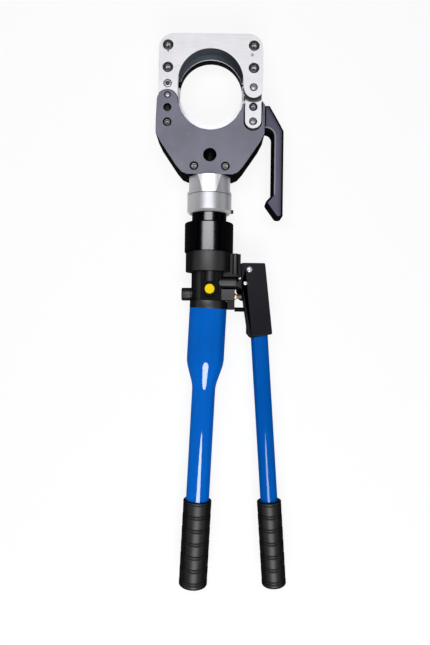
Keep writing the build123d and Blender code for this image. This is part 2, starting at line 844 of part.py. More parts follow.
# Barrel, the pressure tube inside the neck and the sleeve
with BuildPart() as cylinder_barrel:
    with BuildSketch(across(barrel_bottom)):
        Circle(barrel_d / 2)
        Circle(barrel_bore / 2, mode=Mode.SUBTRACT)
    extrude(amount=barrel_top - barrel_bottom)
    with BuildSketch(across(set_screw_y - set_screw_r - lap)):
        Circle(barrel_d / 2 + over)
        Circle(barrel_d / 2 - groove_depth, mode=Mode.SUBTRACT)
    extrude(amount=2 * (set_screw_r + lap), mode=Mode.SUBTRACT)
finish(cylinder_barrel, "cylinder_barrel")

# Gloss sleeve round the barrel
with BuildPart() as cylinder_sleeve:
    with BuildSketch(across(sleeve_bottom)):
        Circle(sleeve_d / 2)
    extrude(amount=sleeve_top - sleeve_bottom)
    fillet(cylinder_sleeve.edges().group_by(Axis.Y)[-1], sleeve_edge)
    with BuildSketch(across(sleeve_bottom)):
        Circle(barrel_d / 2)
    extrude(amount=sleeve_top - sleeve_bottom, mode=Mode.SUBTRACT)
finish(cylinder_sleeve, "cylinder_sleeve")

# Ram: piston and hollow rod in one, slotted at the top for the blade
with BuildPart() as ram:
    with BuildSketch(across(piston_start)):
        Circle(barrel_bore / 2 - running)
    extrude(amount=piston_thick)
    with BuildSketch(across(piston_start)):
        Circle(rod_d / 2)
    extrude(amount=rod_top - piston_start)
    with BuildSketch(across(seal_low)):
        Circle(barrel_bore / 2)
        Circle(barrel_bore / 2 - seal_depth, mode=Mode.SUBTRACT)
    extrude(amount=seal_width, mode=Mode.SUBTRACT)
    with BuildSketch(across(piston_start)):
        Circle(rod_hollow_d / 2)
    extrude(amount=rod_hollow_top - piston_start, mode=Mode.SUBTRACT)
    with BuildSketch(level(-blade_thick)):
        with Locations((0, blade_shank_bottom)):
            Rectangle(rod_d, deep, align=(Align.CENTER, Align.MIN))
    extrude(amount=blade_thick, mode=Mode.SUBTRACT)
    with BuildSketch(level(-face)):
        with Locations((0, blade_pin_y)):
            Circle(blade_pin_r)
    extrude(amount=head_thick, mode=Mode.SUBTRACT)
finish(ram, "ram")

# Seal in the piston's groove
with BuildPart() as piston_seal:
    with BuildSketch(across(seal_low)):
        Circle(barrel_bore / 2 - running)
        Circle(barrel_bore / 2 - seal_depth, mode=Mode.SUBTRACT)
    extrude(amount=seal_width)
finish(piston_seal, "piston_seal")

# Pin that holds the blade in the rod
with BuildPart() as blade_pin:
    with BuildSketch(level(-blade_pin_half)):
        with Locations((0, blade_pin_y)):
            Circle(blade_pin_r)
    extrude(amount=2 * blade_pin_half)
finish(blade_pin, "blade_pin")

# Return spring inside the rod and the screw it hangs on
with BuildPart() as return_spring:
    with BuildLine():
        coil_foot = spot(0, spring_foot + spring_wire / 2)
        coil_rise = spring_pitch * spring_turns
        coil = Helix(spring_pitch, coil_rise, spring_r, center=coil_foot, direction=(0, 1, 0))
    with BuildSketch(Plane(origin=coil @ 0, z_dir=coil % 0)):
        Circle(spring_wire / 2)
    sweep(is_frenet=True)
finish(return_spring, "return_spring")
print("return spring gap between turns:", round(spring_pitch - spring_wire, 2), "mm")

with BuildPart() as spring_anchor:
    with BuildSketch(across(collar_bottom)):
        Circle(anchor_r)
    extrude(amount=spring_foot - collar_bottom)
    with BuildSketch(across(spring_foot)):
        Circle(anchor_head_r)
    extrude(amount=-anchor_r)
finish(spring_anchor, "spring_anchor")

# Cast pump body: collar, core, lever lug, pump block, button boss, plug boss and spigot
with BuildPart() as pump_body:
    with BuildSketch(across(collar_bottom)):
        Circle(core_r)
    extrude(amount=-collar_bottom)
    with BuildSketch(facing_right(-plug_seat, plug_y)):
        Circle(plug_r)
    extrude(amount=plug_seat)
    with BuildSketch(tube_plane.offset(-flange_rise)):
        Circle(flange_r + lap)
    extrude(amount=collar_bottom, mode=Mode.SUBTRACT)
    with BuildSketch(tube_plane.offset(spigot_len)):
        Circle(spigot_r)
    extrude(amount=-spigot_len - flange_rise - flange_edge)
    with BuildSketch(across(collar_bottom)):
        Circle(collar_r)
    extrude(amount=sleeve_bottom - collar_bottom)
    with BuildSketch(level(0)):
        with Locations((button_x, collar_bottom)):
            Rectangle(2 * boss_half, collar_bottom - boss_low, align=(Align.CENTER, Align.MAX))
    extrude(amount=ring_seat)
    with Locations(spot(button_x, collar_bottom, ring_seat - stem_boss_r / 2)):
        Cylinder(stem_boss_r, collar_bottom - button_y - ring_r, rotation=(90, 0, 0), align=rest_up)
    with BuildSketch(facing_right(button_x, plunger_y)):
        Circle(pump_r)
    extrude(amount=pump_face - button_x)
    with BuildSketch(level(-block_half)):
        with Locations((pump_face, block_top)):
            Rectangle(pump_face - button_x, block_top - foot_top, align=(Align.MAX, Align.MAX))
    extrude(amount=2 * block_half)
    with BuildSketch(level(-lug_base_half)):
        with Locations((pump_face, foot_top + over)):
            Rectangle(pump_face - foot_left, foot_top + over - foot_bottom, align=(Align.MAX, Align.MAX))
    extrude(amount=2 * lug_base_half)
    with BuildSketch(level(-lug_base_half)):
        with Locations((lug_base_x, lug_top)):
            Rectangle(lug_base_x - lug_root, lug_top - lug_low, align=(Align.MAX, Align.MAX))
    extrude(amount=2 * lug_base_half)
    with BuildSketch(level(-lug_half)):
        with Locations((lug_edge_x, lug_top)):
            Rectangle(lug_edge_x - lug_root, lug_top - lug_low, align=(Align.MAX, Align.MAX))
        with Locations((pivot_x, pivot_y)):
            Circle(lug_round)
            Rectangle(pivot_x - lug_root, 2 * lug_round, align=(Align.MAX, Align.CENTER))
    extrude(amount=2 * lug_half)
    with BuildSketch(across(barrel_bottom)):
        Circle(barrel_d / 2)
    extrude(amount=deep, mode=Mode.SUBTRACT)
    with BuildSketch(level(-face)):
        with Locations((pivot_x, pivot_y)):
            Circle(pivot_r + running)
    extrude(amount=head_thick, mode=Mode.SUBTRACT)
    with BuildSketch(facing_right(plunger_start - bore_tail, plunger_y)):
        Circle(plunger_r + running)
    extrude(amount=pump_face, mode=Mode.SUBTRACT)
    with BuildSketch(facing_right(gland_seat, plunger_y)):
        Circle(gland_r)
    extrude(amount=gland_end - gland_seat, mode=Mode.SUBTRACT)
    with BuildSketch(facing_right(stem_root, valve_y)):
        Circle(stem_r)
    extrude(amount=pump_face, mode=Mode.SUBTRACT)
    with BuildSketch(facing_right(-plug_seat, plug_y)):
        Circle(plug_spigot_r)
    extrude(amount=plug_spigot, mode=Mode.SUBTRACT)
    with BuildSketch(level(button_floor)):
        with Locations((button_x, button_y)):
            Circle(button_r + running)
    extrude(amount=face, mode=Mode.SUBTRACT)
    with Locations(spot(cartridge_x, 0)):
        Cylinder(cartridge_r, 2 * suction_top, rotation=(90, 0, 0), mode=Mode.SUBTRACT)
    with BuildSketch(across(delivery_low)):
        with Locations((cartridge_x, 0)):
            Circle(cartridge_r)
    extrude(amount=barrel_bottom - delivery_low, mode=Mode.SUBTRACT)
    with BuildSketch(across(suction_top)):
        with Locations((cartridge_x, 0)):
            Circle(passage_r)
    extrude(amount=delivery_low - suction_top, mode=Mode.SUBTRACT)
    with BuildSketch(across(collar_bottom)):
        Circle(anchor_r)
    extrude(amount=barrel_bottom - collar_bottom, mode=Mode.SUBTRACT)
finish(pump_body, "pump_body")

# Valve cartridges below and above the plunger's bore
for valve_name, valve_low in (
    ("suction_valve", suction_top - cartridge_len),
    ("delivery_valve", delivery_low),
):
    with BuildPart() as valve:
        with BuildSketch(across(valve_low)):
            with Locations((cartridge_x, 0)):
                Circle(cartridge_r)
                Circle(passage_r / 2, mode=Mode.SUBTRACT)
        extrude(amount=cartridge_len)
    finish(valve, valve_name)

# Relief plug on the left
with BuildPart() as relief_plug:
    with BuildSketch(facing_right(-plug_end, plug_y)):
        Circle(plug_r)
    extrude(amount=plug_end - plug_seat)
    with BuildSketch(facing_right(-plug_seat, plug_y)):
        Circle(plug_spigot_r)
    extrude(amount=plug_spigot)
    with BuildSketch(facing_right(-plug_end, plug_y)):
        RegularPolygon(plug_spigot_r, 6)
    extrude(amount=plug_spigot_r, mode=Mode.SUBTRACT)
finish(relief_plug, "relief_plug")

# Release button with its guide ring and spring
with BuildPart() as release_button:
    with BuildSketch(level(button_top)):
        with Locations((button_x, button_y)):
            Circle(button_r)
    extrude(amount=-button_len)
    fillet(release_button.edges().group_by(Axis.Z)[-1], button_edge)
finish(release_button, "release_button")

with BuildPart() as button_ring:
    with BuildSketch(level(ring_seat)):
        with Locations((button_x, button_y)):
            Circle(ring_r)
            Circle(button_r + running, mode=Mode.SUBTRACT)
    extrude(amount=ring_top - ring_seat)
finish(button_ring, "button_ring")

with BuildPart() as button_spring:
    coil_rise = button_spring_len - button_spring_wire
    with BuildLine():
        coil_foot = spot(button_x, button_y, button_floor + button_spring_wire / 2)
        coil = Helix(coil_rise / button_spring_turns, coil_rise, button_spring_r, center=coil_foot)
    with BuildSketch(Plane(origin=coil @ 0, z_dir=coil % 0)):
        Circle(button_spring_wire / 2)
    sweep(is_frenet=True)
finish(button_spring, "button_spring")
print("button spring gap:", round(coil_rise / button_spring_turns - button_spring_wire, 2), "mm")

# Pump plunger with a slotted eye for the lever's wrist pin
with BuildPart() as pump_plunger:
    with BuildSketch(facing_right(plunger_start, plunger_y)):
        Circle(plunger_r)
    extrude(amount=gland_end + slip - plunger_start)
    with BuildSketch(level(-eye_half)):
        with Locations((wrist_x, wrist_y)):
            Circle(eye_r)
            Rectangle(wrist_x - gland_end - slip, 2 * plunger_r, align=(Align.MAX, Align.CENTER))
    extrude(amount=2 * eye_half)
    with BuildSketch(level(-eye_half)):
        with Locations((wrist_x, wrist_y + eye_shift)):
            SlotCenterToCenter(eye_float, 2 * (wrist_r + wrist_play), rotation=90)
    extrude(amount=2 * eye_half, mode=Mode.SUBTRACT)
finish(pump_plunger, "pump_plunger")

with BuildPart() as plunger_gland:
    with BuildSketch(facing_right(gland_seat, plunger_y)):
        Circle(gland_r)
        Circle(plunger_r + running, mode=Mode.SUBTRACT)
    extrude(amount=gland_end - gland_seat)
finish(plunger_gland, "plunger_gland")

# Brass seat and steel stem of the low-pressure valve
with BuildPart() as valve_seat:
    with BuildSketch(facing_right(pump_face, valve_y)):
        Circle(seat_r)
        Circle(stem_r, mode=Mode.SUBTRACT)
    extrude(amount=seat_thick)
finish(valve_seat, "valve_seat")

with BuildPart() as valve_stem:
    with BuildSketch(facing_right(stem_root, valve_y)):
        Circle(stem_r)
    extrude(amount=stem_end - stem_root)
finish(valve_stem, "valve_stem")

# Flange ring between the casting and the reservoir tube
with BuildPart(tube_plane) as flange_ring:
    with Locations((0, 0, -flange_rise)):
        Cylinder(flange_r, flange_rise - flange_foot, align=rest_up)
    chamfer(flange_ring.edges().sort_by(Axis.Y)[-1], flange_edge)
    Cylinder(spigot_r, 4 * flange_rise, mode=Mode.SUBTRACT)
finish(flange_ring, "flange_ring")

# Reservoir tube: wide oil chamber, cone, then the handle tube
with BuildPart(tube_plane) as reservoir_tube:
    with Locations((0, 0, -flange_foot)):
        Cylinder(tube_r, tube_straight + flange_foot, align=rest_up)
        Cylinder(spigot_r, spigot_len + 2 * flange_foot, align=rest_up, mode=Mode.SUBTRACT)
    with Locations((0, 0, tube_straight)):
        Cone(tube_r, handle_tube_r, cone_len, align=rest_up)
    with Locations((0, 0, tube_straight + cone_len)):
        Cylinder(handle_tube_r, tube_end - tube_straight - cone_len, align=rest_up)
    with Locations((0, 0, spigot_len + flange_foot)):
        chamber = tube_straight - spigot_len - flange_foot
        Cylinder(tube_r - tube_wall, chamber, align=rest_up, mode=Mode.SUBTRACT)
    with Locations((0, 0, tube_straight)):
        Cone(tube_r - tube_wall, handle_tube_r - tube_wall, cone_len, align=rest_up, mode=Mode.SUBTRACT)
    with Locations((0, 0, tube_straight + cone_len)):
        Cylinder(handle_tube_r - tube_wall, deep, align=rest_up, mode=Mode.SUBTRACT)
finish(reservoir_tube, "reservoir_tube")

# Rubber oil bladder, closed at its far end
with BuildPart(tube_plane) as oil_bladder:
    with Locations((0, 0, spigot_len)):
        Cylinder(bladder_r, bladder_len, align=rest_up)
        Cylinder(bladder_r - bladder_wall, bladder_len - bladder_wall, align=rest_up, mode=Mode.SUBTRACT)
finish(oil_bladder, "oil_bladder")

# Lever tube
with BuildPart(lever_plane) as lever_tube:
    with Locations((0, 0, -lever_socket)):
        Cylinder(lever_tube_r, lever_tube_end + lever_socket, align=rest_up)
        Cylinder(lever_tube_r - lever_tube_wall, deep, align=rest_up, mode=Mode.SUBTRACT)
finish(lever_tube, "lever_tube")

# Rubber grips with ring grooves
for grip_name, grip_plane, outer_r, inner_r, start, end, tube_stop in (
    ("main_grip", tube_plane, grip_r, handle_tube_r, grip_start, grip_end, tube_end),
    ("lever_grip", lever_plane, lever_grip_r, lever_tube_r, lever_grip_start, lever_grip_end, lever_tube_end),
):
    with BuildPart(grip_plane) as grip:
        with Locations((0, 0, start)):
            Cylinder(outer_r - groove_deep, end - start, align=rest_up)
        edges = [start + groove_first + i * groove_pitch for i in range(groove_count)]
        lows = [start] + [place + groove_width for place in edges]
        highs = edges + [end]
        for low, high in zip(lows, highs):
            with Locations((0, 0, low)):
                Cylinder(outer_r, high - low, align=rest_up)
        fillet(grip.edges().filter_by(GeomType.CIRCLE).sort_by(Axis.Y)[0], grip_round)
        with Locations((0, 0, start)):
            Cylinder(inner_r, tube_stop - start, align=rest_up, mode=Mode.SUBTRACT)
    finish(grip, grip_name)

# Lever head: forked over the casting's lug, with a socket for the lever tube
with BuildPart() as lever_head:
    with BuildSketch(level(-lever_half)) as lever_shape:
        with BuildLine():
            Polyline(
                (lever_left, lever_top),
                (lever_right, lever_top),
                (lever_foot_right, lever_foot_y + lever_heel_rise),
                (lever_foot_left, lever_foot_y + lever_sole),
                (lever_heel_x, lever_foot_y + lever_heel_rise),
                (lever_knee_x, peg_y - lever_waist_drop),
                (lever_waist_x, valve_y),
                (lever_mid_x, wrist_y),
                close=True,
            )
        make_face()
        fillet(lever_shape.vertices().filter_by(lambda v: v.Y < 0 or v.Y > pivot_y), lever_round)
    extrude(amount=2 * lever_half)
    with BuildSketch(level(-lug_half - lap)):
        with Locations((lever_slot_x, lever_slot_y)):
            Rectangle(lever_slot_x, deep, align=(Align.MAX, Align.MIN))
    extrude(amount=2 * (lug_half + lap), mode=Mode.SUBTRACT)
    with BuildSketch(lever_plane.offset(-lever_socket)):
        Circle(lever_tube_r)
    extrude(amount=deep, mode=Mode.SUBTRACT)
    with BuildSketch(level(-lever_half)):
        with Locations((pivot_x, pivot_y)):
            Circle(pivot_r)
        with Locations((wrist_x, wrist_y)):
            Circle(wrist_r)
    extrude(amount=2 * lever_half, mode=Mode.SUBTRACT)
    with BuildSketch(facing_right(pump_face, peg_y)):
        Circle(peg_r)
    extrude(amount=peg_root - pump_face, mode=Mode.SUBTRACT)
finish(lever_head, "lever_head")

# Lever pivot pin and wrist pin
for pin_name, pin_x, pin_y, pin_r in (
    ("lever_pivot_pin", pivot_x, pivot_y, pivot_r),
    ("plunger_pin", wrist_x, wrist_y, wrist_r),
):
    with BuildPart() as lever_pin:
        with BuildSketch(level(-lever_half)):
            with Locations((pin_x, pin_y)):
                Circle(pin_r)
        extrude(amount=2 * lever_half)
    finish(lever_pin, pin_name)

# Stop peg that meets the foot of the pump block when the lever is closed
with BuildPart() as lever_stop_peg:
    with BuildSketch(facing_right(pump_face + peg_gap, peg_y)):
        Circle(peg_r)
    extrude(amount=peg_root - pump_face - peg_gap)
finish(lever_stop_peg, "lever_stop_peg")
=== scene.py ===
# %% [markdown]
# # A hand-pumped hydraulic cable cutter
# Its shapes and joints come from a finished CAD model. This lesson dresses that model: a camera,
# studio light, a finish for every piece, and finer tubes, grips, pins, screws and edges.
# Everything is in metres. +X is the tool's right, +Y points to the cutting head,
# and +Z comes out of the head's front.

# %% Load the packed model
import json
from math import cos, pi, radians, sin

import bmesh
import bpy
import numpy as np
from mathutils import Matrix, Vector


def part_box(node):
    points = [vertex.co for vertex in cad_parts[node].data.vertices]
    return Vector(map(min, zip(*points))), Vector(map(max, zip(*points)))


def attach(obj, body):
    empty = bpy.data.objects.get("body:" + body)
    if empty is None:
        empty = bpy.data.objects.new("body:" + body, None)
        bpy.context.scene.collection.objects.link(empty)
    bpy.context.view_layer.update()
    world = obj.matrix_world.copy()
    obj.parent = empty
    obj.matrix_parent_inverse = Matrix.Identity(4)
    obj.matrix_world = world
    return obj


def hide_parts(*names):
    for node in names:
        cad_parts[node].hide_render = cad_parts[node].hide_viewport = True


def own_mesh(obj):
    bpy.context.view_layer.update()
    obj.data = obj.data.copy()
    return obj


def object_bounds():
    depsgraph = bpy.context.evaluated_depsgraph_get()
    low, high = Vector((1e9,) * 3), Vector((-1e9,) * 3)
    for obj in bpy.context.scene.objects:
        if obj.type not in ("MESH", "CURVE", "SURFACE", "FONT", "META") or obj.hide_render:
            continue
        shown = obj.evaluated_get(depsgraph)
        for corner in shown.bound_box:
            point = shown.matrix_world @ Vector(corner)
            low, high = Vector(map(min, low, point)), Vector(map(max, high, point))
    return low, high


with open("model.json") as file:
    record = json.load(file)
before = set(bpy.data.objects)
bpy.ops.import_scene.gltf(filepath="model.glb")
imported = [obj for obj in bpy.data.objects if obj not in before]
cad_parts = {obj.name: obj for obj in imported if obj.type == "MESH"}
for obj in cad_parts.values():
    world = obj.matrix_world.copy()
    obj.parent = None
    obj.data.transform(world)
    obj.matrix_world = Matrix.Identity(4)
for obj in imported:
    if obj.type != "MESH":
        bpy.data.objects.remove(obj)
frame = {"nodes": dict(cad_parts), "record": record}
cad_box = [list(corner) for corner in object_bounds()]
print("CAD box:", cad_box)

# %% [markdown]
# ## Camera
# The tool lies on its back and is seen from straight above, so the camera looks down along -Z.
# A camera can be steered by eye, but here it is worked out. One pixel of the picture covers
# 1.341 mm at the height of the tool's long axis, and that and the camera's distance give the lens.
# The tool leans a little in the picture, so the camera is rolled by the same angle.

# %% Camera over the tool
PICTURE_ROWS = 645
MM_PER_PIXEL = 1.3413
SENSOR = 36.0
HEAD_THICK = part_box("front_side_plate")[1][2]
AXIS_Z = HEAD_THICK / 2
CAMERA_X, CAMERA_Y, CAMERA_RISE = 0.0095, -0.2181, 0.725
CAMERA_ROLL = 0.0127


def show(piece):
    """Puts an object into the scene."""
    bpy.context.scene.collection.objects.link(piece)
    return piece


camera_data = bpy.data.cameras.new("overhead_camera")
camera_data.sensor_fit = "VERTICAL"
camera_data.sensor_height = SENSOR
camera_data.lens = SENSOR * CAMERA_RISE / (PICTURE_ROWS * MM_PER_PIXEL / 1000)
camera = show(bpy.data.objects.new("overhead_camera", camera_data))
camera.location = (CAMERA_X, CAMERA_Y, AXIS_Z + CAMERA_RISE)
camera.rotation_euler = (0, 0, CAMERA_ROLL)
bpy.context.scene.camera = camera
print("lens", round(camera_data.lens, 2), "mm")

# %% [markdown]
# ## Writing shader maths as Python
# A finish is a small network of nodes. Placing each Math node by hand hides the idea,
# so one class wraps a socket: adding or multiplying two wraps adds the node that does it.
# Every other node comes from one method, which sets the node up and then fills its sockets.

# %% A socket that can be added and multiplied
class Wire:
    """A socket in a material. Arithmetic on it adds Math nodes to the same tree."""

    def __init__(self, tree, socket=None):
        self.tree = tree
        self.socket = socket

    def node(self, kind, settings=None, values=None, out=0):
        """Adds one node: settings first, then its sockets' values or links; gives one output."""
        made = self.tree.nodes.new(kind)
        for name, value in (settings or {}).items():
            setattr(made, name, value)
        for name, value in (values or {}).items():
            if isinstance(value, Wire):
                self.tree.links.new(value.socket, made.inputs[name])
            else:
                made.inputs[name].default_value = value
        return Wire(self.tree, made.outputs[out] if made.outputs else None)

    def sum(self, operation, first, second):
        """One Math node on two values."""
        return self.node("ShaderNodeMath", {"operation": operation}, {0: first, 1: second})

    def __add__(self, other):
        return self.sum("ADD", self, other)

    __radd__ = __add__

    def __sub__(self, other):
        return self.sum("SUBTRACT", self, other)

    def __rsub__(self, other):
        return self.sum("SUBTRACT", other, self)

    def __mul__(self, other):
        return self.sum("MULTIPLY", self, other)

    __rmul__ = __mul__

    def root(self):
        """The square root."""
        return self.sum("SQRT", self, 0)

    def between(self, low, high):
        """0 below low, 1 above high and a smooth ramp in between."""
        limits = {"Value": self, "From Min": low, "From Max": high}
        return self.node("ShaderNodeMapRange", {"interpolation_type": "SMOOTHSTEP"}, limits)

    def tint(self, first, second):
        """Mixes two colours by this value."""
        colours = {0: self, 6: first, 7: second}
        return self.node("ShaderNodeMix", {"data_type": "RGBA"}, colours, out=2)


print("a wire can do:", [name for name in vars(Wire) if not name.startswith("__")])

# %% [markdown]
# ### Colours
# A picture gives colours as steps from 0 to 255 on a screen, and shaders count light.
# A colour picker would convert them one by one. A short function keeps the steps in the code.

# %% Screen steps to linear light
def ink(red, green, blue):
    """A colour given as 0 to 255 steps on a screen, as the linear colour that shaders use."""
    steps = np.array([red, green, blue]) / 255
    linear = np.where(steps <= 0.04045, steps / 12.92, ((steps + 0.055) / 1.055) ** 2.4)
    return (*linear.tolist(), 1.0)


# Black for real marks such as punch marks, and for painted shade on walls, in hollows and in gaps.
BLACK_MARK_AND_SHADE = ink(13, 13, 14)
BLUE_ENAMEL = ink(0, 96, 192)
print("blue enamel in linear light:", BLUE_ENAMEL)

# %% [markdown]
# ## Surfaces from grids of points
# Most new pieces are surfaces over two parameters, such as a place along a profile and a turn
# about an axis. Blender can also spin or loft a shape in edit mode. Working the points out
# as one array keeps the formula in sight.

# %% Helpers for meshes
TURNS = 96
TURN = np.arange(TURNS) * 2 * pi / TURNS


def grid_mesh(name, points, closed_u=False, closed_v=False):
    """Mesh over grids of points [..., u, v, xyz]: cells join i, i+1, j and j+1, and may wrap."""
    rows, columns = points.shape[-3:-1]
    index = np.arange(points.size // 3).reshape(-1, rows, columns)
    if closed_u:
        index = np.concatenate([index, index[:, :1]], axis=1)
    if closed_v:
        index = np.concatenate([index, index[:, :, :1]], axis=2)
    corners = [index[:, :-1, :-1], index[:, 1:, :-1], index[:, 1:, 1:], index[:, :-1, 1:]]
    cells = np.stack(corners, axis=-1).reshape(-1, 4)
    mesh = bpy.data.meshes.new(name)
    mesh.from_pydata(points.reshape(-1, 3).tolist(), [], cells.tolist())
    mesh.update()
    return show(bpy.data.objects.new(name, mesh))


def weld(piece):
    """Joins points that lie on each other, such as the ring at a pole, and turns faces outward."""
    shape = bmesh.new()
    shape.from_mesh(piece.data)
    bmesh.ops.remove_doubles(shape, verts=shape.verts, dist=1e-7)
    bmesh.ops.recalc_face_normals(shape, faces=shape.faces)
    shape.to_mesh(piece.data)
    shape.free()
    return piece


def smooth(piece, corner=32):
    """Smooth shading, broken where two faces meet at more than the corner angle."""
    piece.data.shade_smooth()
    piece.data.set_sharp_from_angle(angle=radians(corner))
    return piece


print("a full turn has", TURNS, "steps")

# %% [markdown]
# ## White floor
# The tool lies on plain white paper that curves up into a low wall all round, so no view shows a
# horizon. A flat plane would do for one view. A round cove does for all, and it is one profile
# turned about Z. Its paint is matt for the light, and mostly plain white for the camera and in
# reflections, so the paper looks white without more light on the tool and still keeps its shadow.

# %% The paper and its cove
FLOOR_FLAT = 3.2
COVE = 1.8
WALL_TOP = 3.0
CLEARANCE = 0.0003
floor_z = cad_box[0][2] - CLEARANCE
bend = np.radians(np.linspace(0, 90, 25))[1:]
flat_r = np.linspace(0, FLOOR_FLAT, 9)
cove_r = np.concatenate([flat_r, FLOOR_FLAT + COVE * np.sin(bend), [FLOOR_FLAT + COVE]])[:, None]
cove_z = np.concatenate([0 * flat_r, COVE * (1 - np.cos(bend)), [WALL_TOP]])[:, None]
cove = [cove_r * np.cos(TURN), cove_r * np.sin(TURN), cove_z + 0 * TURN + floor_z]
floor = smooth(weld(grid_mesh("floor", np.stack(cove, axis=-1), closed_v=True)))
print("floor at", round(floor_z, 4))

# %% Paper white
PAPER = (0.93, 0.93, 0.93, 1)
GLOW_SHARE = 0.85
floor_paint = bpy.data.materials.new("floor_white")
floor_paint.use_nodes = True
floor_paint.node_tree.nodes.clear()
start = Wire(floor_paint.node_tree)
matt = start.node("ShaderNodeBsdfDiffuse", values={"Color": PAPER})
glow = start.node("ShaderNodeEmission", values={"Color": (1, 1, 1, 1), "Strength": 1.0})
seen = start.node("ShaderNodeLightPath", out="Is Camera Ray")
mirrored = start.node("ShaderNodeLightPath", out="Is Glossy Ray")
through = start.node("ShaderNodeLightPath", out="Is Transmission Ray")
share = (seen + mirrored + through) * GLOW_SHARE
paper = start.node("ShaderNodeMixShader", values={0: share, 1: matt, 2: glow})
start.node("ShaderNodeOutputMaterial", values={"Surface": paper})
floor.data.materials.append(floor_paint)
print("paper shows", GLOW_SHARE, "of plain white")

# %% [markdown]
# ## Studio light
# Two soft lamps hang in a dim room, with a gap between them where the camera is. A long box hangs
# over the head, and gloss black shows it as one broad stripe. A round lamp hangs past the grips,
# and each blue tube shows it as a streak that starts in a point. Square lamps alone would end
# every streak bluntly, and a bright room would wash the black pieces out.

# %% Two soft lamps
LAMP_Z = 1.12


def soft_lamp(name, shape, centre, size, radiance, colour):
    """A flat lamp that faces straight down; its power is pi times its area times its radiance."""
    lamp = bpy.data.lights.new(name, "AREA")
    lamp.shape = shape
    lamp.size, lamp.size_y = size
    area = size[0] * size[1] * (pi / 4 if shape == "ELLIPSE" else 1)
    lamp.energy = pi * area * radiance
    lamp.color = colour
    holder = show(bpy.data.objects.new(name, lamp))
    holder.location = centre
    return lamp


COOL, NEUTRAL = (0.95, 0.955, 1.0), (1.0, 1.0, 1.0)
lamps = [
    soft_lamp("head_box", "RECTANGLE", (-0.115, 0.157, LAMP_Z), (1.05, 0.35), 7.8, COOL),
    soft_lamp("round_lamp", "ELLIPSE", (0.07, -1.15, LAMP_Z), (0.84, 1.12), 7.2, NEUTRAL),
]
print("lamps:", [round(lamp.energy, 1) for lamp in lamps], "watts")

# %% A dim room
ROOM_LOW, ROOM_HIGH = (0.10, 0.10, 0.105, 1), (0.03, 0.03, 0.031, 1)
world = bpy.data.worlds.new("studio")
bpy.context.scene.world = world
world.use_nodes = True
world.node_tree.nodes.clear()
sky = Wire(world.node_tree)
outward = sky.node("ShaderNodeTexCoord", out="Generated")
height = sky.node("ShaderNodeSeparateXYZ", values={0: outward}, out="Z")
room = height.between(0.05, 0.7).tint(ROOM_LOW, ROOM_HIGH)
room_light = sky.node("ShaderNodeBackground", values={"Color": room, "Strength": 1.0})
sky.node("ShaderNodeOutputWorld", values={"Surface": room_light})
bpy.context.scene.view_settings.view_transform = "Standard"
print("room light:", ROOM_LOW[0], "low,", ROOM_HIGH[0], "overhead")

# %% [markdown]
# ## Finishes
# Every finish is one Principled shader. Numbers that are the same all over are set on the shader's
# own sockets. What changes over the surface, such as grain, brush marks or dust, is worked out
# from Object coordinates, which are plain metres because every piece sits at the origin.
# Painted pictures would need every piece unwrapped, and would blur close up.

# %% A new finish
finishes = {}


def new_finish(name, constants):
    """A material with one Principled shader; gives the material, the shader and a first wire."""
    paint = bpy.data.materials.new(name)
    paint.use_nodes = True
    shader = paint.node_tree.nodes["Principled BSDF"]
    for socket, value in constants.items():
        shader.inputs[socket].default_value = value
    return paint, shader, Wire(paint.node_tree)


def feed(shader, socket, wire):
    """Links a wire to one socket of the shader."""
    wire.tree.links.new(wire.socket, shader.inputs[socket])


print("finishes at the start:", len(finishes))

# %% Places, noise, relief and shades
def metres(wire):
    """The x, y and z of a surface point in metres."""
    place = wire.node("ShaderNodeTexCoord", out="Object")
    return [wire.node("ShaderNodeSeparateXYZ", values={0: place}, out=letter) for letter in "XYZ"]


def cloud(wire, stretch, detail):
    """Noise from 0 to 1 over Object coordinates, with stretch cells per metre along X, Y and Z."""
    place = wire.node("ShaderNodeTexCoord", out="Object")
    cells = wire.node("ShaderNodeMapping", values={"Vector": place, "Scale": stretch})
    inputs = {"Vector": cells, "Scale": 1.0, "Detail": detail}
    return wire.node("ShaderNodeTexNoise", values=inputs, out="Fac")


def relief(shader, wire, depth):
    """Bump from a height wire, depth in metres."""
    inputs = {"Height": wire, "Strength": 1.0, "Distance": depth}
    feed(shader, "Normal", wire.node("ShaderNodeBump", values=inputs))


def shaded(colour, amount):
    """A colour made darker or lighter: each part times 1 + amount."""
    return tuple(min(1, part * (1 + amount)) for part in colour[:3]) + (1,)


print("soot, twice as light:", shaded(BLACK_MARK_AND_SHADE, 1))

# %% [markdown]
# ### Faces and cut walls
# The head's plates are flame-cut. Their broad faces are ground and coated, and their cut walls are
# painted black as painted shade. One finish can hold both: a face lies at a known height, and
# everything between the two faces is wall. Splitting the mesh would also do, but the height is
# exact and leaves it alone.

# %% How much of a point is face
EDGE = 0.0004


def heights(node):
    """The lowest and highest z of a CAD piece."""
    low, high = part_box(node)
    return low[2], high[2]


def distance(wire, across, along):
    """Distance in metres from an upright axis at x = across and y = along."""
    x, y, _ = metres(wire)
    return ((x - across) * (x - across) + (y - along) * (y - along)).root()


def on_faces(wire, low, high):
    """1 at the two broad faces z = low and z = high, and 0 on the walls between them."""
    z = metres(wire)[2]
    return z.between(high - EDGE, high - EDGE / 4) + 1 - z.between(low + EDGE / 4, low + EDGE)


def on_level(z, level):
    """1 on a flat at z = level, and 0 above and below it."""
    return z.between(level - EDGE, level) - z.between(level + EDGE, level + 2 * EDGE)


def on_shelf(wire, level, right, low):
    """1 on the flat z = level where x < right and y > low."""
    x, y, z = metres(wire)
    return on_level(z, level) * (1 - x.between(right - EDGE, right)) * y.between(low, low + EDGE)


print("faces are", EDGE * 1000, "mm deep")

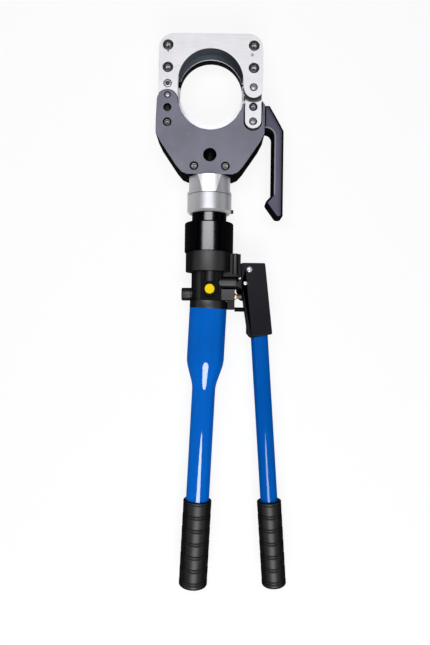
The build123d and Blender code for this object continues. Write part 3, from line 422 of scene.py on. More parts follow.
# %% [markdown]
# ### Paints and coatings
# A coating has fine grain and slow changes of shade from how thick it lies. A few pale hairline
# scratches show use. Gloss enamel is the same paint, only smoother, with a slight orange-peel
# ripple. Its gloss is a clear coat that is thick where the paint faces the eye and thin on steep
# flanks, so the flanks keep their full colour. One plain gloss would turn every flank pale.

# %% Clear coat and hairlines
RIM = 0.03
SHARP_SPREAD, SATIN_SPREAD = (0.01, 0.13), (0.03, 0.36)


def gloss_coat(wire, gloss, spread):
    """Weight of a clear coat: gloss, thinning over the spread of slopes to a share RIM of it."""
    steep = wire.node("ShaderNodeLayerWeight", values={"Blend": 0.5}, out="Facing")
    return gloss - steep.between(*spread) * gloss * (1 - RIM)


def hairlines(wire):
    """1 on thin lines, where long noise is near its top, and only in patches."""
    thin = cloud(wire, (900, 90, 300), 0).between(0.80, 0.84)
    return thin * cloud(wire, (60, 60, 60), 1).between(0.52, 0.66)


print("satin thins out over slopes", SATIN_SPREAD)

# %% How a paint is mixed
SLOW = (22, 22, 22)


def coating(name, colour, roughness, shade=0.10, grain=1500, depth=0.00002, scratches=0.0,
            gloss=1.0, ior=1.5, spread=SHARP_SPREAD, walls=None, shelf=None, shade_line=None, flats=()):
    """Paint: colour times (1 +- shade) by slow noise, lighter along hairlines, bumped by grain.

    walls (low, high, colour) paints what lies between two faces, except on a shelf, as painted
    shade; the argument after shelf is an x left of which shade is painted; flats (z, share) are
    levels painted dark as shade, without gloss.
    """
    constants = {"Specular IOR Level": 0, "Coat Roughness": roughness, "Coat IOR": ior}
    paint, shader, wire = new_finish(name, constants)
    coat = gloss_coat(wire, gloss, spread)
    slow = cloud(wire, SLOW, 3)
    fine = cloud(wire, (grain, grain, grain), 1)
    patchy = (slow * 0.8 + fine * 0.2).between(0.3, 0.7)
    tone = patchy.tint(shaded(colour, -shade), shaded(colour, shade))
    if scratches:
        tone = (hairlines(wire) * scratches).tint(tone, shaded(colour, 1.5))
    if walls:
        low, high, wall_colour = walls
        face = on_faces(wire, low, high)
        if shelf:
            face = face + on_shelf(wire, **shelf)
        tone = face.tint(wall_colour, tone)
    if shade_line:
        tone = metres(wire)[0].between(shade_line - EDGE, shade_line).tint(BLACK_MARK_AND_SHADE, tone)
    for flat, share in flats:
        level = on_level(metres(wire)[2], flat) * share
        tone = level.tint(tone, BLACK_MARK_AND_SHADE)
        coat = coat * (1 - level)
    feed(shader, "Base Color", tone)
    feed(shader, "Coat Weight", coat)
    feed(shader, "Roughness", 0.45 + slow * 0.2)
    relief(shader, fine, depth)
    finishes[name] = paint


print("paint changes slowly,", SLOW[0], "times to the metre")

# %% [markdown]
# ### Coatings of the head and the pump
# The plates and the side handle have a bluish grey satin coat. Beside the link the front plate is
# milled down to a shelf, which is coated like its face, and where the handle butts against the
# plates a dark line on the handle is painted shade. The pump and the lever are black. The pump's
# casting has low flats between its bosses that are painted darker and without gloss, as painted
# shade. All this could be left to shadow, but broad lamps fill such corners.

# %% Grey and black coats
LINK_SHELF = {"level": heights("front_link")[0], "right": 0.0444, "low": 0.0578}
# Left of this x the handle is painted dark: painted shade where it meets the plates.
HANDLE_SHADE_LINE = 0.0736
# The pump's low flats are painted dark and lose their gloss: painted shade.
PUMP_FLATS = [(heights("button_ring")[0], 0.92), (AXIS_Z + 0.012, 0.6), (AXIS_Z + 0.007, 0.8)]
CAST_BLACK = ink(19, 19, 20)
coating("plate_grey", ink(119, 119, 131), 0.42, scratches=0.5, gloss=0.3,
        walls=(0, HEAD_THICK, BLACK_MARK_AND_SHADE), shelf=LINK_SHELF)
coating("handle_grey", ink(89, 88, 104), 0.45, grain=1100, depth=0.00003, gloss=0.2,
        walls=(*heights("side_handle"), BLACK_MARK_AND_SHADE), shade_line=HANDLE_SHADE_LINE)
coating("lever_black", ink(23, 23, 28), 0.40, grain=1100, depth=0.00003, gloss=0.15,
        spread=SATIN_SPREAD, walls=(*heights("lever_head"), ink(20, 20, 22)))
coating("cast_black", CAST_BLACK, 0.45, shade=0.2, grain=700, depth=0.00006, ior=1.6,
        spread=SATIN_SPREAD)
coating("pump_black", CAST_BLACK, 0.45, shade=0.2, grain=700, depth=0.00006, ior=1.55,
        spread=SATIN_SPREAD, scratches=0.4, flats=PUMP_FLATS)
coating("screw_black", ink(16, 16, 18), 0.30, gloss=0.4)
coating("dull_black", ink(10, 10, 11), 0.40, gloss=0.1)
print("coats:", sorted(finishes))

# %% [markdown]
# ### Enamel and plastic
# The cylinder's sleeve is gloss black and the two tubes are gloss blue. The lever's tube is thinner
# and shows less of its lamp, so its clear coat is half as strong, and its enamel is painted a shade
# deeper than the reservoir's, as painted shade.
# The release button is moulded in yellow plastic. Each could have a recipe of its own, but they are
# the same paint with other numbers.

# %% Gloss black, two blues and yellow
ENAMEL_SPREAD = (0.09, 0.15)
enamel = {"shade": 0.04, "grain": 140, "depth": 0.000002, "ior": 1.86, "spread": ENAMEL_SPREAD}
coating("gloss_black", ink(1, 1, 3), 0.20, grain=140, depth=0.000003, ior=1.70)
coating("gloss_blue", BLUE_ENAMEL, 0.04, **enamel)
# A darker copy of the blue enamel: painted shade on the lever's tube.
coating("lever_blue", ink(0, 84, 170), 0.04, gloss=0.5, **enamel)
coating("button_yellow", ink(238, 206, 8), 0.32, shade=0.04, grain=900, depth=0.00001, gloss=0.15)
print("paints in all:", len(finishes))

# %% [markdown]
# ### Bare metal
# Ground plates carry fine lines from the grinder, all one way. Turned pieces carry rings square to
# their axis. Both are noise stretched along one direction, used for brightness, gloss and a very
# small bump. Real grooves would need far more faces than they are worth.
# Dark rings and spots are drawn by distance. The punch marks are real marks; the rest are painted
# shade, and on the screws partly their black finish.

# %% Marks on bare metal
SOFT, FADE = 0.0002, 0.0005
LINE_CORE, LINE_EDGE, LINE_SHARE = 0.0003, 0.0008, 0.7
ANY_Y = 1


def mix_stains_and_shades(wire, tone, stains_and_shades):
    """Black for marks and painted shade, by share, from radius inner to outer about a place, below
    y = top.
    """
    for place, inner, outer, share, top in stains_and_shades:
        away = distance(wire, *place)
        ring = away.between(inner - SOFT, inner) - away.between(outer * 0.95, outer * 1.05 + FADE)
        below = 1 - metres(wire)[1].between(top - EDGE, top)
        tone = (ring * below * share).tint(tone, BLACK_MARK_AND_SHADE)
    return tone


def jointed(wire, tone, joint):
    """Mixes a dark line in that runs round the tool at y = joint."""
    y = metres(wire)[1]
    rise = y.between(joint - LINE_EDGE, joint - LINE_CORE)
    fall = y.between(joint + LINE_CORE, joint + LINE_EDGE)
    return ((rise - fall) * LINE_SHARE).tint(tone, BLACK_MARK_AND_SHADE)


def mix_flat_highlight(wire, tone, foot, half, spread, bright):
    """Mixes in a painted highlight, a bright trapezoid: |x| < half + (y - foot) spread, above y =
    foot.
    """
    x, y, _ = metres(wire)
    inside = (half + (y - foot) * spread - (x * x).root()).between(0, EDGE)
    return (inside * y.between(foot, foot + EDGE)).tint(tone, bright)


print("a joint line is", 2 * LINE_CORE * 1000, "mm wide")

# %% How a metal is mixed
HANDLED = (30, 30, 30)


def metal(name, colour, roughness, stretch, metallic=0.9, depth=0.000006, smudge=0.06,
          walls=None, stains_and_shades=(), shine=0.5, joint=None, flat_highlight=None):
    """Metal: stretched noise gives lines, slow noise gives marks; both change tone and gloss."""
    paint, shader, wire = new_finish(name, {"Metallic": metallic, "Specular IOR Level": shine})
    lines = cloud(wire, stretch, 2)
    marks = cloud(wire, HANDLED, 3)
    worn = (lines * 0.5 + marks * 0.5).between(0.3, 0.62)
    tone = mix_stains_and_shades(wire, worn.tint(shaded(colour, -2 * smudge), colour), stains_and_shades)
    if joint:
        tone = jointed(wire, tone, joint)
    if flat_highlight:
        tone = mix_flat_highlight(wire, tone, **flat_highlight)
    if walls:
        low, high, wall_colour = walls
        face = on_faces(wire, low, high)
        tone = face.tint(wall_colour, tone)
        feed(shader, "Metallic", face * metallic)
    feed(shader, "Base Color", tone)
    feed(shader, "Roughness", roughness * 0.7 + lines * roughness * 0.4 + marks * roughness * 0.2)
    relief(shader, lines, depth)
    finishes[name] = paint


print("handling marks:", HANDLED[0], "to the metre")

# %% [markdown]
# ### Metals of the head
# The gate and the links are ground and satin bright. Two punch marks sit beside the gate's screws,
# and the gate's tip and the links' ends lie in dark crescents of painted shade, where one plate
# passes close over the next. The neck is turned: a dark joint line parts it from its collar, and a
# milled flat on its front and back narrows towards that line. The flat is not cut, as its depth is
# not known; its reflection is painted as a brighter patch of the same metal.

# %% Gate, links, tongue, blade and neck
SIDE_X = 0.056
SATIN, LINK_SATIN = (0.85, 0.84, 0.855, 1), (0.84, 0.83, 0.85, 1)
GRIND = (60, 2200, 2200)
HINGE_Y, GATE_TIP_Y, LINK_FOOT_Y = 0.0884, 0.0869, 0.0470
# Each dark ring: place, inner and outer radius, share of black, and the y that it stays below.
punch_marks = [((-0.0558, 0.1341), 0, 0.0009, 0.8, ANY_Y),
               ((0.0536, 0.1300), 0, 0.0019, 0.5, ANY_Y)]
# Painted shade: dark crescents below the gate's tip, on the links under it and at their foot.
gate_tip_shade = ((SIDE_X, GATE_TIP_Y), 0.0125, 0.0200, 0.95, GATE_TIP_Y)
link_end_shades = [((SIDE_X, HINGE_Y), 0.0135, 0.0182, 0.95, HINGE_Y),
             ((SIDE_X, LINK_FOOT_Y), 0.0108, 0.0160, 0.95, LINK_FOOT_Y)]
# Painted shade: the tongue's bore and a rim round it are painted black.
lock_bore_shade = ((-SIDE_X, 0.061), 0, 0.0054, 0.95, ANY_Y)
# Painted reflection of the neck's flat: a bright trapezoid on the turned metal.
neck_flat_highlight = {"foot": -0.0488, "half": 0.0087, "spread": 0.287, "bright": (0.95, 0.95, 0.97, 1)}
metal("gate_silver", SATIN, 0.48, GRIND, metallic=0.1, stains_and_shades=[*punch_marks, gate_tip_shade], shine=0)
# The links' walls are painted black: painted shade.
metal("link_silver", LINK_SATIN, 0.45, GRIND, metallic=0.1, stains_and_shades=link_end_shades,
      walls=(heights("rear_link")[0], heights("front_link")[1], BLACK_MARK_AND_SHADE))
metal("tongue_silver", LINK_SATIN, 0.45, GRIND, metallic=0.1, stains_and_shades=[lock_bore_shade])
# The blade is near white, a painted highlight for the bright sheen of its ground bevel.
metal("blade_steel", (0.97, 0.97, 0.98, 1), 0.45, (2600, 90, 2600), metallic=0.4)
metal("neck_silver", (0.46, 0.46, 0.48, 1), 0.46, (12, 2600, 12), joint=-0.0494, flat_highlight=neck_flat_highlight)
print("finishes so far:", len(finishes))

# %% [markdown]
# ### Small metal pieces
# Valves, springs and pins are drawn or turned from bar. Each visible pin is worn in its own way,
# so each has its own shade, and its flanks and sunk ring are painted black as painted shade. The
# cap screws are painted black from the socket's rim to past the head, partly their black finish
# and partly painted shadow of the counterbore. Inside the socket the bare metal stays bright, with
# a painted dark dot for the shade deep in the socket. A second material inside each socket would
# also do; a distance needs no new faces.

# %% Valves, springs and pins
EVEN = (900, 900, 900)
DRAWN = (2000, 60, 60)
metal("stem_grey", (0.11, 0.10, 0.08, 1), 0.40, DRAWN, metallic=0.3)
metal("pin_steel", (0.72, 0.72, 0.73, 1), 0.30, EVEN, metallic=0.3)
metal("valve_brass", (0.80, 0.56, 0.20, 1), 0.26, DRAWN)
metal("spring_steel", (0.55, 0.55, 0.56, 1), 0.32, (800, 800, 800))
pin_shades = {"hinge_pin": 0.30, "link_pin": 0.28, "gate_detents": 0.48, "tongue_screw": 0.45,
              "lever_pivot_pin": 0.60, "plunger_pin": 0.75}
# Below its face each pin is painted black: painted shade on its flanks and sunk ring.
for node, shade in pin_shades.items():
    metal(f"{node}_own", (shade, shade, shade * 1.04, 1), 0.30, EVEN, metallic=0.4, smudge=0.15,
          walls=(*heights(node), BLACK_MARK_AND_SHADE))
print("finishes so far:", len(finishes))

# %% Black screw heads with bright sockets
gate_places = [(x, y) for x in (-SIDE_X, SIDE_X) for y in (0.1134, 0.1424)]
frame_places = [(-SIDE_X, 0.0420), (-0.0204, -0.0146), (0.0204, -0.0146)]
link_places = [(SIDE_X, 0.0644)]
HEAD_SPARE = 0.0012
DOT = 0.0010


def socket_metal(name, places, shade, socket, head):
    """A bright screw, black from the socket's rim to past the head's (its finish and painted
    shade), with a painted dark dot.
    """
    rings = [(place, socket, head + HEAD_SPARE, 0.93, ANY_Y) for place in places]
    dots = [(place, 0, DOT, 0.95, ANY_Y) for place in places]
    metal(name, (shade, shade, shade, 1), 0.30, EVEN, metallic=0.4, smudge=0.15,
          stains_and_shades=rings + dots)


socket_metal("gate_screws_own", gate_places, 0.36, socket=0.0036, head=0.0065)
socket_metal("frame_screws_own", frame_places, 0.20, socket=0.0032, head=0.0050)
socket_metal("link_screw_own", link_places, 0.28, socket=0.0030, head=0.0050)
print("finishes so far:", len(finishes))

# %% [markdown]
# ### The hollow of the gate
# Inside its arch the gate is painted dark as painted shade: the front half of the wall, which the
# lamps still reach, is slate grey and darker towards the right, then the fixed blade keeps a bare
# bright edge as a painted glint, and the rear half is painted black. The legs of the gate are bare
# on all sides. A second material on the arch's faces would need them picked out one by one; a
# distance from the arch's axis does it.

# %% Dark arch and anvil
ARCH, ARCH_REACH = (0.0, 0.0904), 0.0500
SPRING_LINE = (0.101, 0.103)
SLATE, DEEP_SLATE = ink(80, 87, 95), ink(44, 47, 51)
SHADE_FROM, SHADE_TO = -0.010, 0.045
HALF_LINE = 0.0005


def painted(name):
    """The shader of a finish, a wire to build on and the wire that feeds its Base Color."""
    tree = finishes[name].node_tree
    shader = tree.nodes["Principled BSDF"]
    return shader, Wire(tree), Wire(tree, shader.inputs["Base Color"].links[0].from_socket)


def darken_arch(name, base, edge=None):
    """Copies a finish with painted shade near the arch's axis, above the spring line, off the
    faces.
    """
    finishes[name] = finishes[base].copy()
    finishes[name].name = name
    shader, wire, bare = painted(name)
    x, y, z = metres(wire)
    slate = x.between(SHADE_FROM, SHADE_TO).tint(SLATE, DEEP_SLATE)
    wall = z.between(AXIS_Z - HALF_LINE, AXIS_Z + HALF_LINE).tint(BLACK_MARK_AND_SHADE, slate)
    inside = (1 - on_faces(wire, 0, HEAD_THICK)) * y.between(*SPRING_LINE)
    inside = inside * (1 - distance(wire, *ARCH).between(ARCH_REACH, ARCH_REACH + EDGE))
    if edge:
        inside = inside * z.between(*edge)
    feed(shader, "Base Color", inside.tint(bare, wall))


anvil_edge = heights("fixed_blade")[0]
darken_arch("gate_arch", "gate_silver")
# The fixed blade stays bare silver within about half a millimetre of its edge: a painted glint.
darken_arch("anvil_slate", "gate_silver", edge=(anvil_edge + 0.0003, anvil_edge + 0.0008))
print("arch darkened within", ARCH_REACH * 1000, "mm of", ARCH)

# %% [markdown]
# ### Painted shade and highlight on the side handle
#
# The face of the handle is painted darker towards its outer rim, painted shade as if its flank were
# rounded off, and a pale line along its inner edge is a painted highlight. Both follow the outline
# of the handle, which is two straight edges outside and a straight edge with a quarter circle
# inside. A painted picture would need the handle unwrapped, and distances from those lines do not.

# %% Shades along the outline of the handle
HANDLE_OUT = 0.0972
BROW, BROW_NORMAL = (0.0784, 0.0693), (0.869, 0.494)
BEND, BEND_R = (0.0732, 0.0276), 0.009
TOE = (-0.0495, -0.0475)
# Painted shade on the outer flank and a painted highlight along the inner edge.
FLANK_PAINTED_SHADE, FLANK_SPREAD = ink(58, 57, 68), (0.0015, 0.0085)
EDGE_PAINTED_HIGHLIGHT, EDGE_HIGHLIGHT_SHARE = ink(165, 165, 175), 0.6
EDGE_HIGHLIGHT_START, EDGE_HIGHLIGHT_STOP = (0.0022, 0.0028), (0.0040, 0.0048)


def repaint_handle(name):
    """Mixes in painted shade outside and a painted highlight inside, d = hypot(x - a, max(y - b,
    0)) - r.
    """
    shader, wire, tone = painted(name)
    x, y, _ = metres(wire)
    slanted = (BROW[0] - x) * BROW_NORMAL[0] + (BROW[1] - y) * BROW_NORMAL[1]
    flank = wire.sum("MINIMUM", HANDLE_OUT - x, slanted)
    face = on_faces(wire, *heights("side_handle"))
    tone = (face - flank.between(*FLANK_SPREAD) * face).tint(tone, FLANK_PAINTED_SHADE)
    rise = wire.sum("MAXIMUM", y - BEND[1], 0)
    inner = ((x - BEND[0]) * (x - BEND[0]) + rise * rise).root() - BEND_R
    painted_edge_highlight = (inner.between(*EDGE_HIGHLIGHT_START) - inner.between(*EDGE_HIGHLIGHT_STOP)) * y.between(*TOE)
    feed(shader, "Base Color", (painted_edge_highlight * face * EDGE_HIGHLIGHT_SHARE).tint(tone, EDGE_PAINTED_HIGHLIGHT))


repaint_handle("handle_grey")
# The painted highlight starts this far inside the inner edge.
print("handle worn", EDGE_HIGHLIGHT_START[0] * 1000, "mm inside its edge")

# %% [markdown]
# ### Rubber
# Moulded rubber is dull and never quite black: dust lies on it and its skin has a fine leather
# grain. The grain could be modelled, but it is finer than a face should be, so a bump gives it.

# %% Rubber of the grips and the seals
DUST, LEATHER = (45, 45, 45), (1300, 1300, 1300)


def rubber(name, colour, roughness):
    """Rubber: fine noise for the moulded grain and slow noise for a dusty bloom."""
    constants = {"Specular IOR Level": 0, "Coat Roughness": roughness, "Coat IOR": 1.5}
    paint, shader, wire = new_finish(name, constants)
    feed(shader, "Coat Weight", gloss_coat(wire, 1.0, SATIN_SPREAD))
    bloom = cloud(wire, DUST, 4)
    grain = cloud(wire, LEATHER, 2)
    feed(shader, "Base Color", bloom.between(0.35, 0.75).tint(colour, shaded(colour, 0.6)))
    feed(shader, "Roughness", roughness - 0.06 + grain * 0.12)
    relief(shader, grain, 0.00004)
    finishes[name] = paint


rubber("grip_rubber", ink(18, 18, 19), 0.45)
rubber("seal_rubber", ink(30, 30, 30), 0.6)
print("finishes in all:", len(finishes))

# %% [markdown]
# ## Dressing the CAD pieces
# The record says which material each CAD piece is made of, and most pieces take the finish of that
# name. Some share a material but not a finish: the links, the side handle and the lever's head
# have walls painted dark as painted shade, and what lies deep in the head is painted dull black as
# painted shade. Every piece could be listed, but a table of the exceptions is shorter.

# %% A finish for every CAD piece
slot_of = {row["node"]: row["material_slot"] for row in frame["record"]["subparts"]}
own_nodes = {
    "link_silver": ["front_link", "rear_link"], "tongue_silver": ["gate_tongue"],
    "gate_arch": ["gate_front_plate", "gate_rear_plate"], "anvil_slate": ["fixed_blade"],
    "gate_silver": ["left_gate_spacer", "right_gate_spacer"], "handle_grey": ["side_handle"],
    "lever_black": ["lever_head"], "lever_blue": ["lever_tube"], "pump_black": ["pump_body"],
    "screw_black": ["pump_plunger"], "stem_grey": ["valve_stem"],
    # The blade pin, the ram and the blade guides lie deep in the head: dull black as painted shade.
    "dull_black": ["blade_pin", "ram", "button_ring", "neck_set_screw", "lever_stop_peg",
                   "left_blade_guide", "right_blade_guide"],
}
own_finish = {name.removesuffix("_own"): name for name in finishes if name.endswith("_own")}
own_finish |= {node: name for name, nodes in own_nodes.items() for node in nodes}
finish_of = {node: finishes[own_finish.get(node, slot)] for node, slot in slot_of.items()}
for name, piece in frame["nodes"].items():
    piece.data.materials.clear()
    piece.data.materials.append(finish_of[name])
print(len(frame["nodes"]), "CAD pieces dressed")

# %% [markdown]
# ## Turned surfaces
# The reservoir is a drawn steel tube: a wide oil chamber is squeezed down to a handle tube, so its
# shoulders are round. It is round about a leaning axis, so it is a profile that is spun about that
# axis. The Screw modifier could spin it too, but the array gives its exact place in the tool.
# The CAD piece keeps sharp shoulders.

# %% Spinning a profile
PUMP_AXIS = ((0.0, -0.2011, AXIS_Z), -2.47)
LEVER_AXIS = ((0.06925, -0.2386, AXIS_Z), 4.10)


def spin(name, profile, axis):
    """Surface of revolution: foot + s d + r (cos t e - sin t k), closed profile (s, r) in mm."""
    foot, lean = axis
    lean = radians(lean)
    along = np.array([sin(lean), -cos(lean), 0])
    across = np.array([cos(lean), sin(lean), 0])
    up = np.array([0, 0, 1])
    ring = np.cos(TURN)[:, None] * across - np.sin(TURN)[:, None] * up
    s, r = np.asarray(profile).T / 1000
    points = np.array(foot) + s[:, None, None] * along + r[:, None, None] * ring
    return smooth(weld(grid_mesh(name, points, closed_u=True, closed_v=True)))


def replace(piece, node, body):
    """Puts a scene piece in the place of one CAD node, with that node's finish."""
    piece.data.materials.clear()
    piece.data.materials.append(finish_of[node])
    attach(piece, body)
    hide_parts(node)


def softened(s, marks, radii, reach):
    """Straight steps between marks, averaged over +-reach so that their corners become round."""
    near = s[:, None] + np.linspace(-reach, reach, 41)
    return np.interp(near, marks, radii).mean(axis=1)


print("axes lean", PUMP_AXIS[1], "and", LEVER_AXIS[1], "degrees")

# %% Reservoir tube with round shoulders
TUBE_START, TUBE_STOP, TUBE_WALL = -1.5, 362.7, 2.5
MOUTH_DEEP, MOUTH_BORE, CHAMBER_BORE = 12.0, 20.0, 22.3
INNER_START = 14
shoulder = {"marks": [71.1, 101.5], "radii": [24.8, 15.5], "reach": 7}
chamber, neck_in, grip_end = (TUBE_START, 62, 12), (63, 112, 90), (113, TUBE_STOP, 40)
outer_s = np.concatenate([np.linspace(*run) for run in (chamber, neck_in, grip_end)])
outer_r = softened(outer_s, **shoulder)
inner_s = outer_s[outer_s > INNER_START][::-1]
inner_r = softened(inner_s, **shoulder) - TUBE_WALL
mouth = [[MOUTH_DEEP, CHAMBER_BORE], [MOUTH_DEEP, MOUTH_BORE], [TUBE_START, MOUTH_BORE]]
tube_profile = np.vstack([np.stack([outer_s, outer_r], 1), np.stack([inner_s, inner_r], 1), mouth])
tube = spin("smooth_reservoir_tube", tube_profile, PUMP_AXIS)
replace(tube, "reservoir_tube", "pump")
print("tube:", len(tube.data.polygons), "faces")

# %% [markdown]
# ### Turned pieces of the pump casting
# The pump is a sand casting. Its collar is turned smooth, a round boss covers the bore of the
# plunger, and a thin rib stiffens the lever's lug. The CAD mesh of the collar would show flat
# facets, so a spun skin lies 0.05 mm over it. Boss and rib are spun bars that sink into the
# casting. The flange and the plug are spun in full and stand for their CAD pieces.

# %% Collar, boss and rib
SKIN = 0.05
COLLAR_LONG, COLLAR_R, COLLAR_BORE = 26.4, 30.7, 24.0
BAR_LONG, BOSS_R, RIB_R = 27.0, 7.2, 3.6
FRONT_Z = AXIS_Z + 0.0105


def skin(name, profile, axis):
    """A spun piece of the casting, which moves with the pump."""
    piece = spin(name, profile, axis)
    piece.data.materials.append(finishes["cast_black"])
    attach(piece, "pump")


def bar(length, radius, edge):
    """Profile of a solid round bar, each end rounded by a quarter circle of radius edge."""
    corner = np.radians(np.linspace(0, 90, 6))
    start = np.stack([edge * (1 - np.sin(corner)), radius - edge * (1 - np.cos(corner))], 1)[::-1]
    stop = start[::-1] * (-1, 1) + (length, 0)
    return np.vstack([[[0, 0]], start, stop, [[length, 0]]])


collar = bar(COLLAR_LONG + SKIN, COLLAR_R + SKIN, 0.9)
collar[[0, -1], 1] = COLLAR_BORE
skin("smooth_collar", collar, ((0, -0.1246, AXIS_Z), 0))
skin("plunger_boss", bar(BAR_LONG, BOSS_R, 0.8), ((0.010, -0.1655, FRONT_Z), 90))
skin("lug_rib", bar(BAR_LONG, RIB_R, 0.8), ((0.0350, -0.1268, FRONT_Z), 0))
print("collar profile:", len(collar), "points")

# %% Flange and plug
flange_profile = [(-1.5, 20.2), (-1.5, 24.6), (-2.2, 24.9), (-11.4, 24.9), (-12.0, 24.7),
                  (-12.3, 24.2), (-12.3, 20.2)]
plug_profile = [(14, 0), (14, 5), (24, 5), (24, 8.6), (34.4, 8.6), (35.4, 8.1), (35.7, 7.4),
                (35.7, 4.3), (31, 4.3), (31, 0)]
PLUG_AXIS = ((0, -0.1806, AXIS_Z), -90)
replace(spin("turned_flange", flange_profile, PUMP_AXIS), "flange_ring", "pump")
replace(spin("turned_plug", plug_profile, PLUG_AXIS), "relief_plug", "pump")
print("flange:", len(flange_profile), "points; plug:", len(plug_profile))

# %% [markdown]
# ### Grips
# The grips are moulded rubber sleeves. Pairs of ring grooves run round them, the rubber swells
# a little after each pair, and a line marks the lip at the mouth. Grooves could be cut one by one.
# As a sum of narrow bell curves they belong to the profile, and their walls stay round.

# %% A profile with paired ring grooves
RING_DEPTH, RING_HALF, RING_WIDE, RINGS = 0.9, 1.7, 0.55, 6
LIP_DEPTH, LIP_AT, LIP_WIDE = 0.7, 3.4, 0.5
SWELL = 0.35
END_ROUND = 3.5


def bell(apart, wide):
    """exp(-(d / wide)^2): 1 in the middle of a groove, falling away to both sides."""
    return np.exp(-((apart / wide) ** 2))


def grip_profile(start, length, radius, bore, tube_stop, first, pitch):
    """r(s) = radius - depth sum bell(s - s_k +- half), plus a swell that fades to the next pair."""
    stop = start + length
    rings = start + first + pitch * np.arange(RINGS)
    fine = (rings[:, None] + np.linspace(-3.6, 3.6, 31)).ravel()
    mouth = start + np.linspace(1.8, 5.0, 13)
    plain = np.linspace(start + 6, stop - END_ROUND, 40)
    s = np.unique(np.concatenate([[start + 1.2], mouth, plain, fine]).round(4))
    apart = s[:, None] - rings
    dents = (bell(apart - RING_HALF, RING_WIDE) + bell(apart + RING_HALF, RING_WIDE)).sum(axis=1)
    lip_line = LIP_DEPTH * bell(s - start - LIP_AT, LIP_WIDE)
    since = np.where(apart > 0, apart, np.inf).min(axis=1)
    fading = 1 - np.where(np.isinf(since), s - start, since) / pitch
    swell = SWELL * np.clip(fading, 0, 1)
    side = np.stack([s, radius - SWELL + swell - RING_DEPTH * dents - lip_line], 1)
    corner = np.radians(np.linspace(0, 90, 12))[1:]
    end_s = stop - END_ROUND * (1 - np.sin(corner))
    end_r = radius - END_ROUND * (1 - np.cos(corner))
    lip = [[start, bore], [start, radius - 1.4], [start + 0.4, radius - 0.4]]
    tail = [[stop, 0.0], [tube_stop, 0.0], [tube_stop, bore]]
    return np.vstack([lip, side, np.stack([end_s, end_r], 1), tail])


print("a grip has", RINGS, "pairs of rings")

# %% The grips of the pump and of the lever
main_profile = grip_profile(start=254.7, length=114.8, radius=19.0, bore=15.5,
                            tube_stop=TUBE_STOP, first=19.4, pitch=17.5)
lever_profile = grip_profile(start=217.6, length=112.9, radius=16.3, bore=11.45,
                             tube_stop=324.6, first=18.5, pitch=17.4)
main_grip = spin("moulded_main_grip", main_profile, PUMP_AXIS)
replace(main_grip, "main_grip", "pump")
lever_grip = spin("moulded_lever_grip", lever_profile, LEVER_AXIS)
replace(lever_grip, "lever_grip", "lever")
print("grips:", len(main_grip.data.polygons), "and", len(lever_grip.data.polygons), "faces")

# %% [markdown]
# ## Pins and socket screws
# A riveted pin ends in a low dome with a dark ring around it, and a cap screw has a rounded rim
# around its hexagon. In the CAD model both are plain cylinders. Each one here is a stack of rings,
# and a ring may be round or six-sided. A texture could fake the dome, but only a real one catches
# the lamps as the tool turns.

# %% Stacks of rings
def stack(name, centres, rows):
    """p = c + r (1 + k (h(t) - 1)) (cos t, sin t) + z, h a hexagon's side; rows (r, z, k) in mm."""
    r, z, six = np.array(rows).T[:, :, None]
    hexagon = cos(pi / 6) / np.cos((TURN + pi / 6) % (pi / 3) - pi / 6)
    reach = r * (1 + six * (hexagon - 1))
    ring = np.stack([reach * np.cos(TURN), reach * np.sin(TURN), z + 0 * reach], axis=-1) / 1000
    shift = np.pad(np.array(centres), ((0, 0), (0, 1)))[:, None, None]
    return smooth(weld(grid_mesh(name, ring + shift, closed_v=True)), corner=40)


def dome(radius, rim, rise):
    """Rows of a low cap: z = rim + rise (1 - (r / radius)^2), from its rim to its middle."""
    r = np.linspace(radius, 0, 7)
    return [(each, rim + rise * (1 - (each / radius) ** 2), 0) for each in r]


print("one dome has", len(dome(5, 0, 1)), "rings")

# %% Pins of the head and of the lever
RING_SUNK, RING_LAND, DOME_IN, DOME_RISE = 0.9, 0.5, 1.4, 0.6


def pin_rows(radius, low, high):
    """A pin with a domed end and a sunk ring at both ends."""
    sunk = high - RING_SUNK
    top = [(radius, sunk, 0), (radius - RING_LAND, sunk, 0)]
    top += dome(radius - DOME_IN, high, DOME_RISE)
    bottom = [(r, low + high - z, 0) for r, z, _ in reversed(top)]
    return bottom + top


def pin(node, body):
    """Puts a domed pin in the place of one CAD pin, at the middle of its box."""
    low, high = (np.array(corner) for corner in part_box(node))
    middle = ((low + high) / 2)[:2]
    radius = (high[0] - low[0]) / 2 * 1000
    rows = pin_rows(radius, low[2] * 1000, high[2] * 1000)
    replace(stack(f"domed_{node}", [middle], rows), node, body)


for node in ("hinge_pin", "link_pin", "gate_detents"):
    pin(node, "head")
for node in ("lever_pivot_pin", "plunger_pin"):
    pin(node, "lever")
print("five domed pins")

# %% Cap screws of the gate and of the head
M8 = {"shank": 4.0, "head": 6.5, "hexagon": 3.6, "tall": 8.0}
M6 = {"shank": 3.0, "head": 5.0, "hexagon": 2.6, "tall": 6.0}
CONE = 0.5


def screw_rows(shank, head, hexagon, low, high, tall):
    """A cap screw: foot, shank, head with a rounded rim, hexagon socket and its floor."""
    rim, under, bottom = head - 0.9, high - tall, high - tall / 2
    body = [(0, low, 0), (shank, low, 0), (shank, under, 0), (head, under, 0)]
    crown = [(head, high - 0.8, 0), (head - 0.3, high - 0.3, 0), (rim, high, 0),
             (rim * 0.5 + hexagon * 0.5, high + 0.2, 0.3)]
    mouth = [(hexagon + 0.3, high + 0.1, 1), (hexagon, high - 0.3, 1)]
    return body + crown + mouth + [(hexagon, bottom, 1), (0, bottom - CONE, 0)]


def cap_screws(node, body, centres, size):
    """Puts cap screws in the place of one CAD node of screws."""
    low, high = (1000 * z for z in heights(node))
    replace(stack(f"cap_{node}", centres, screw_rows(low=low, high=high, **size)), node, body)


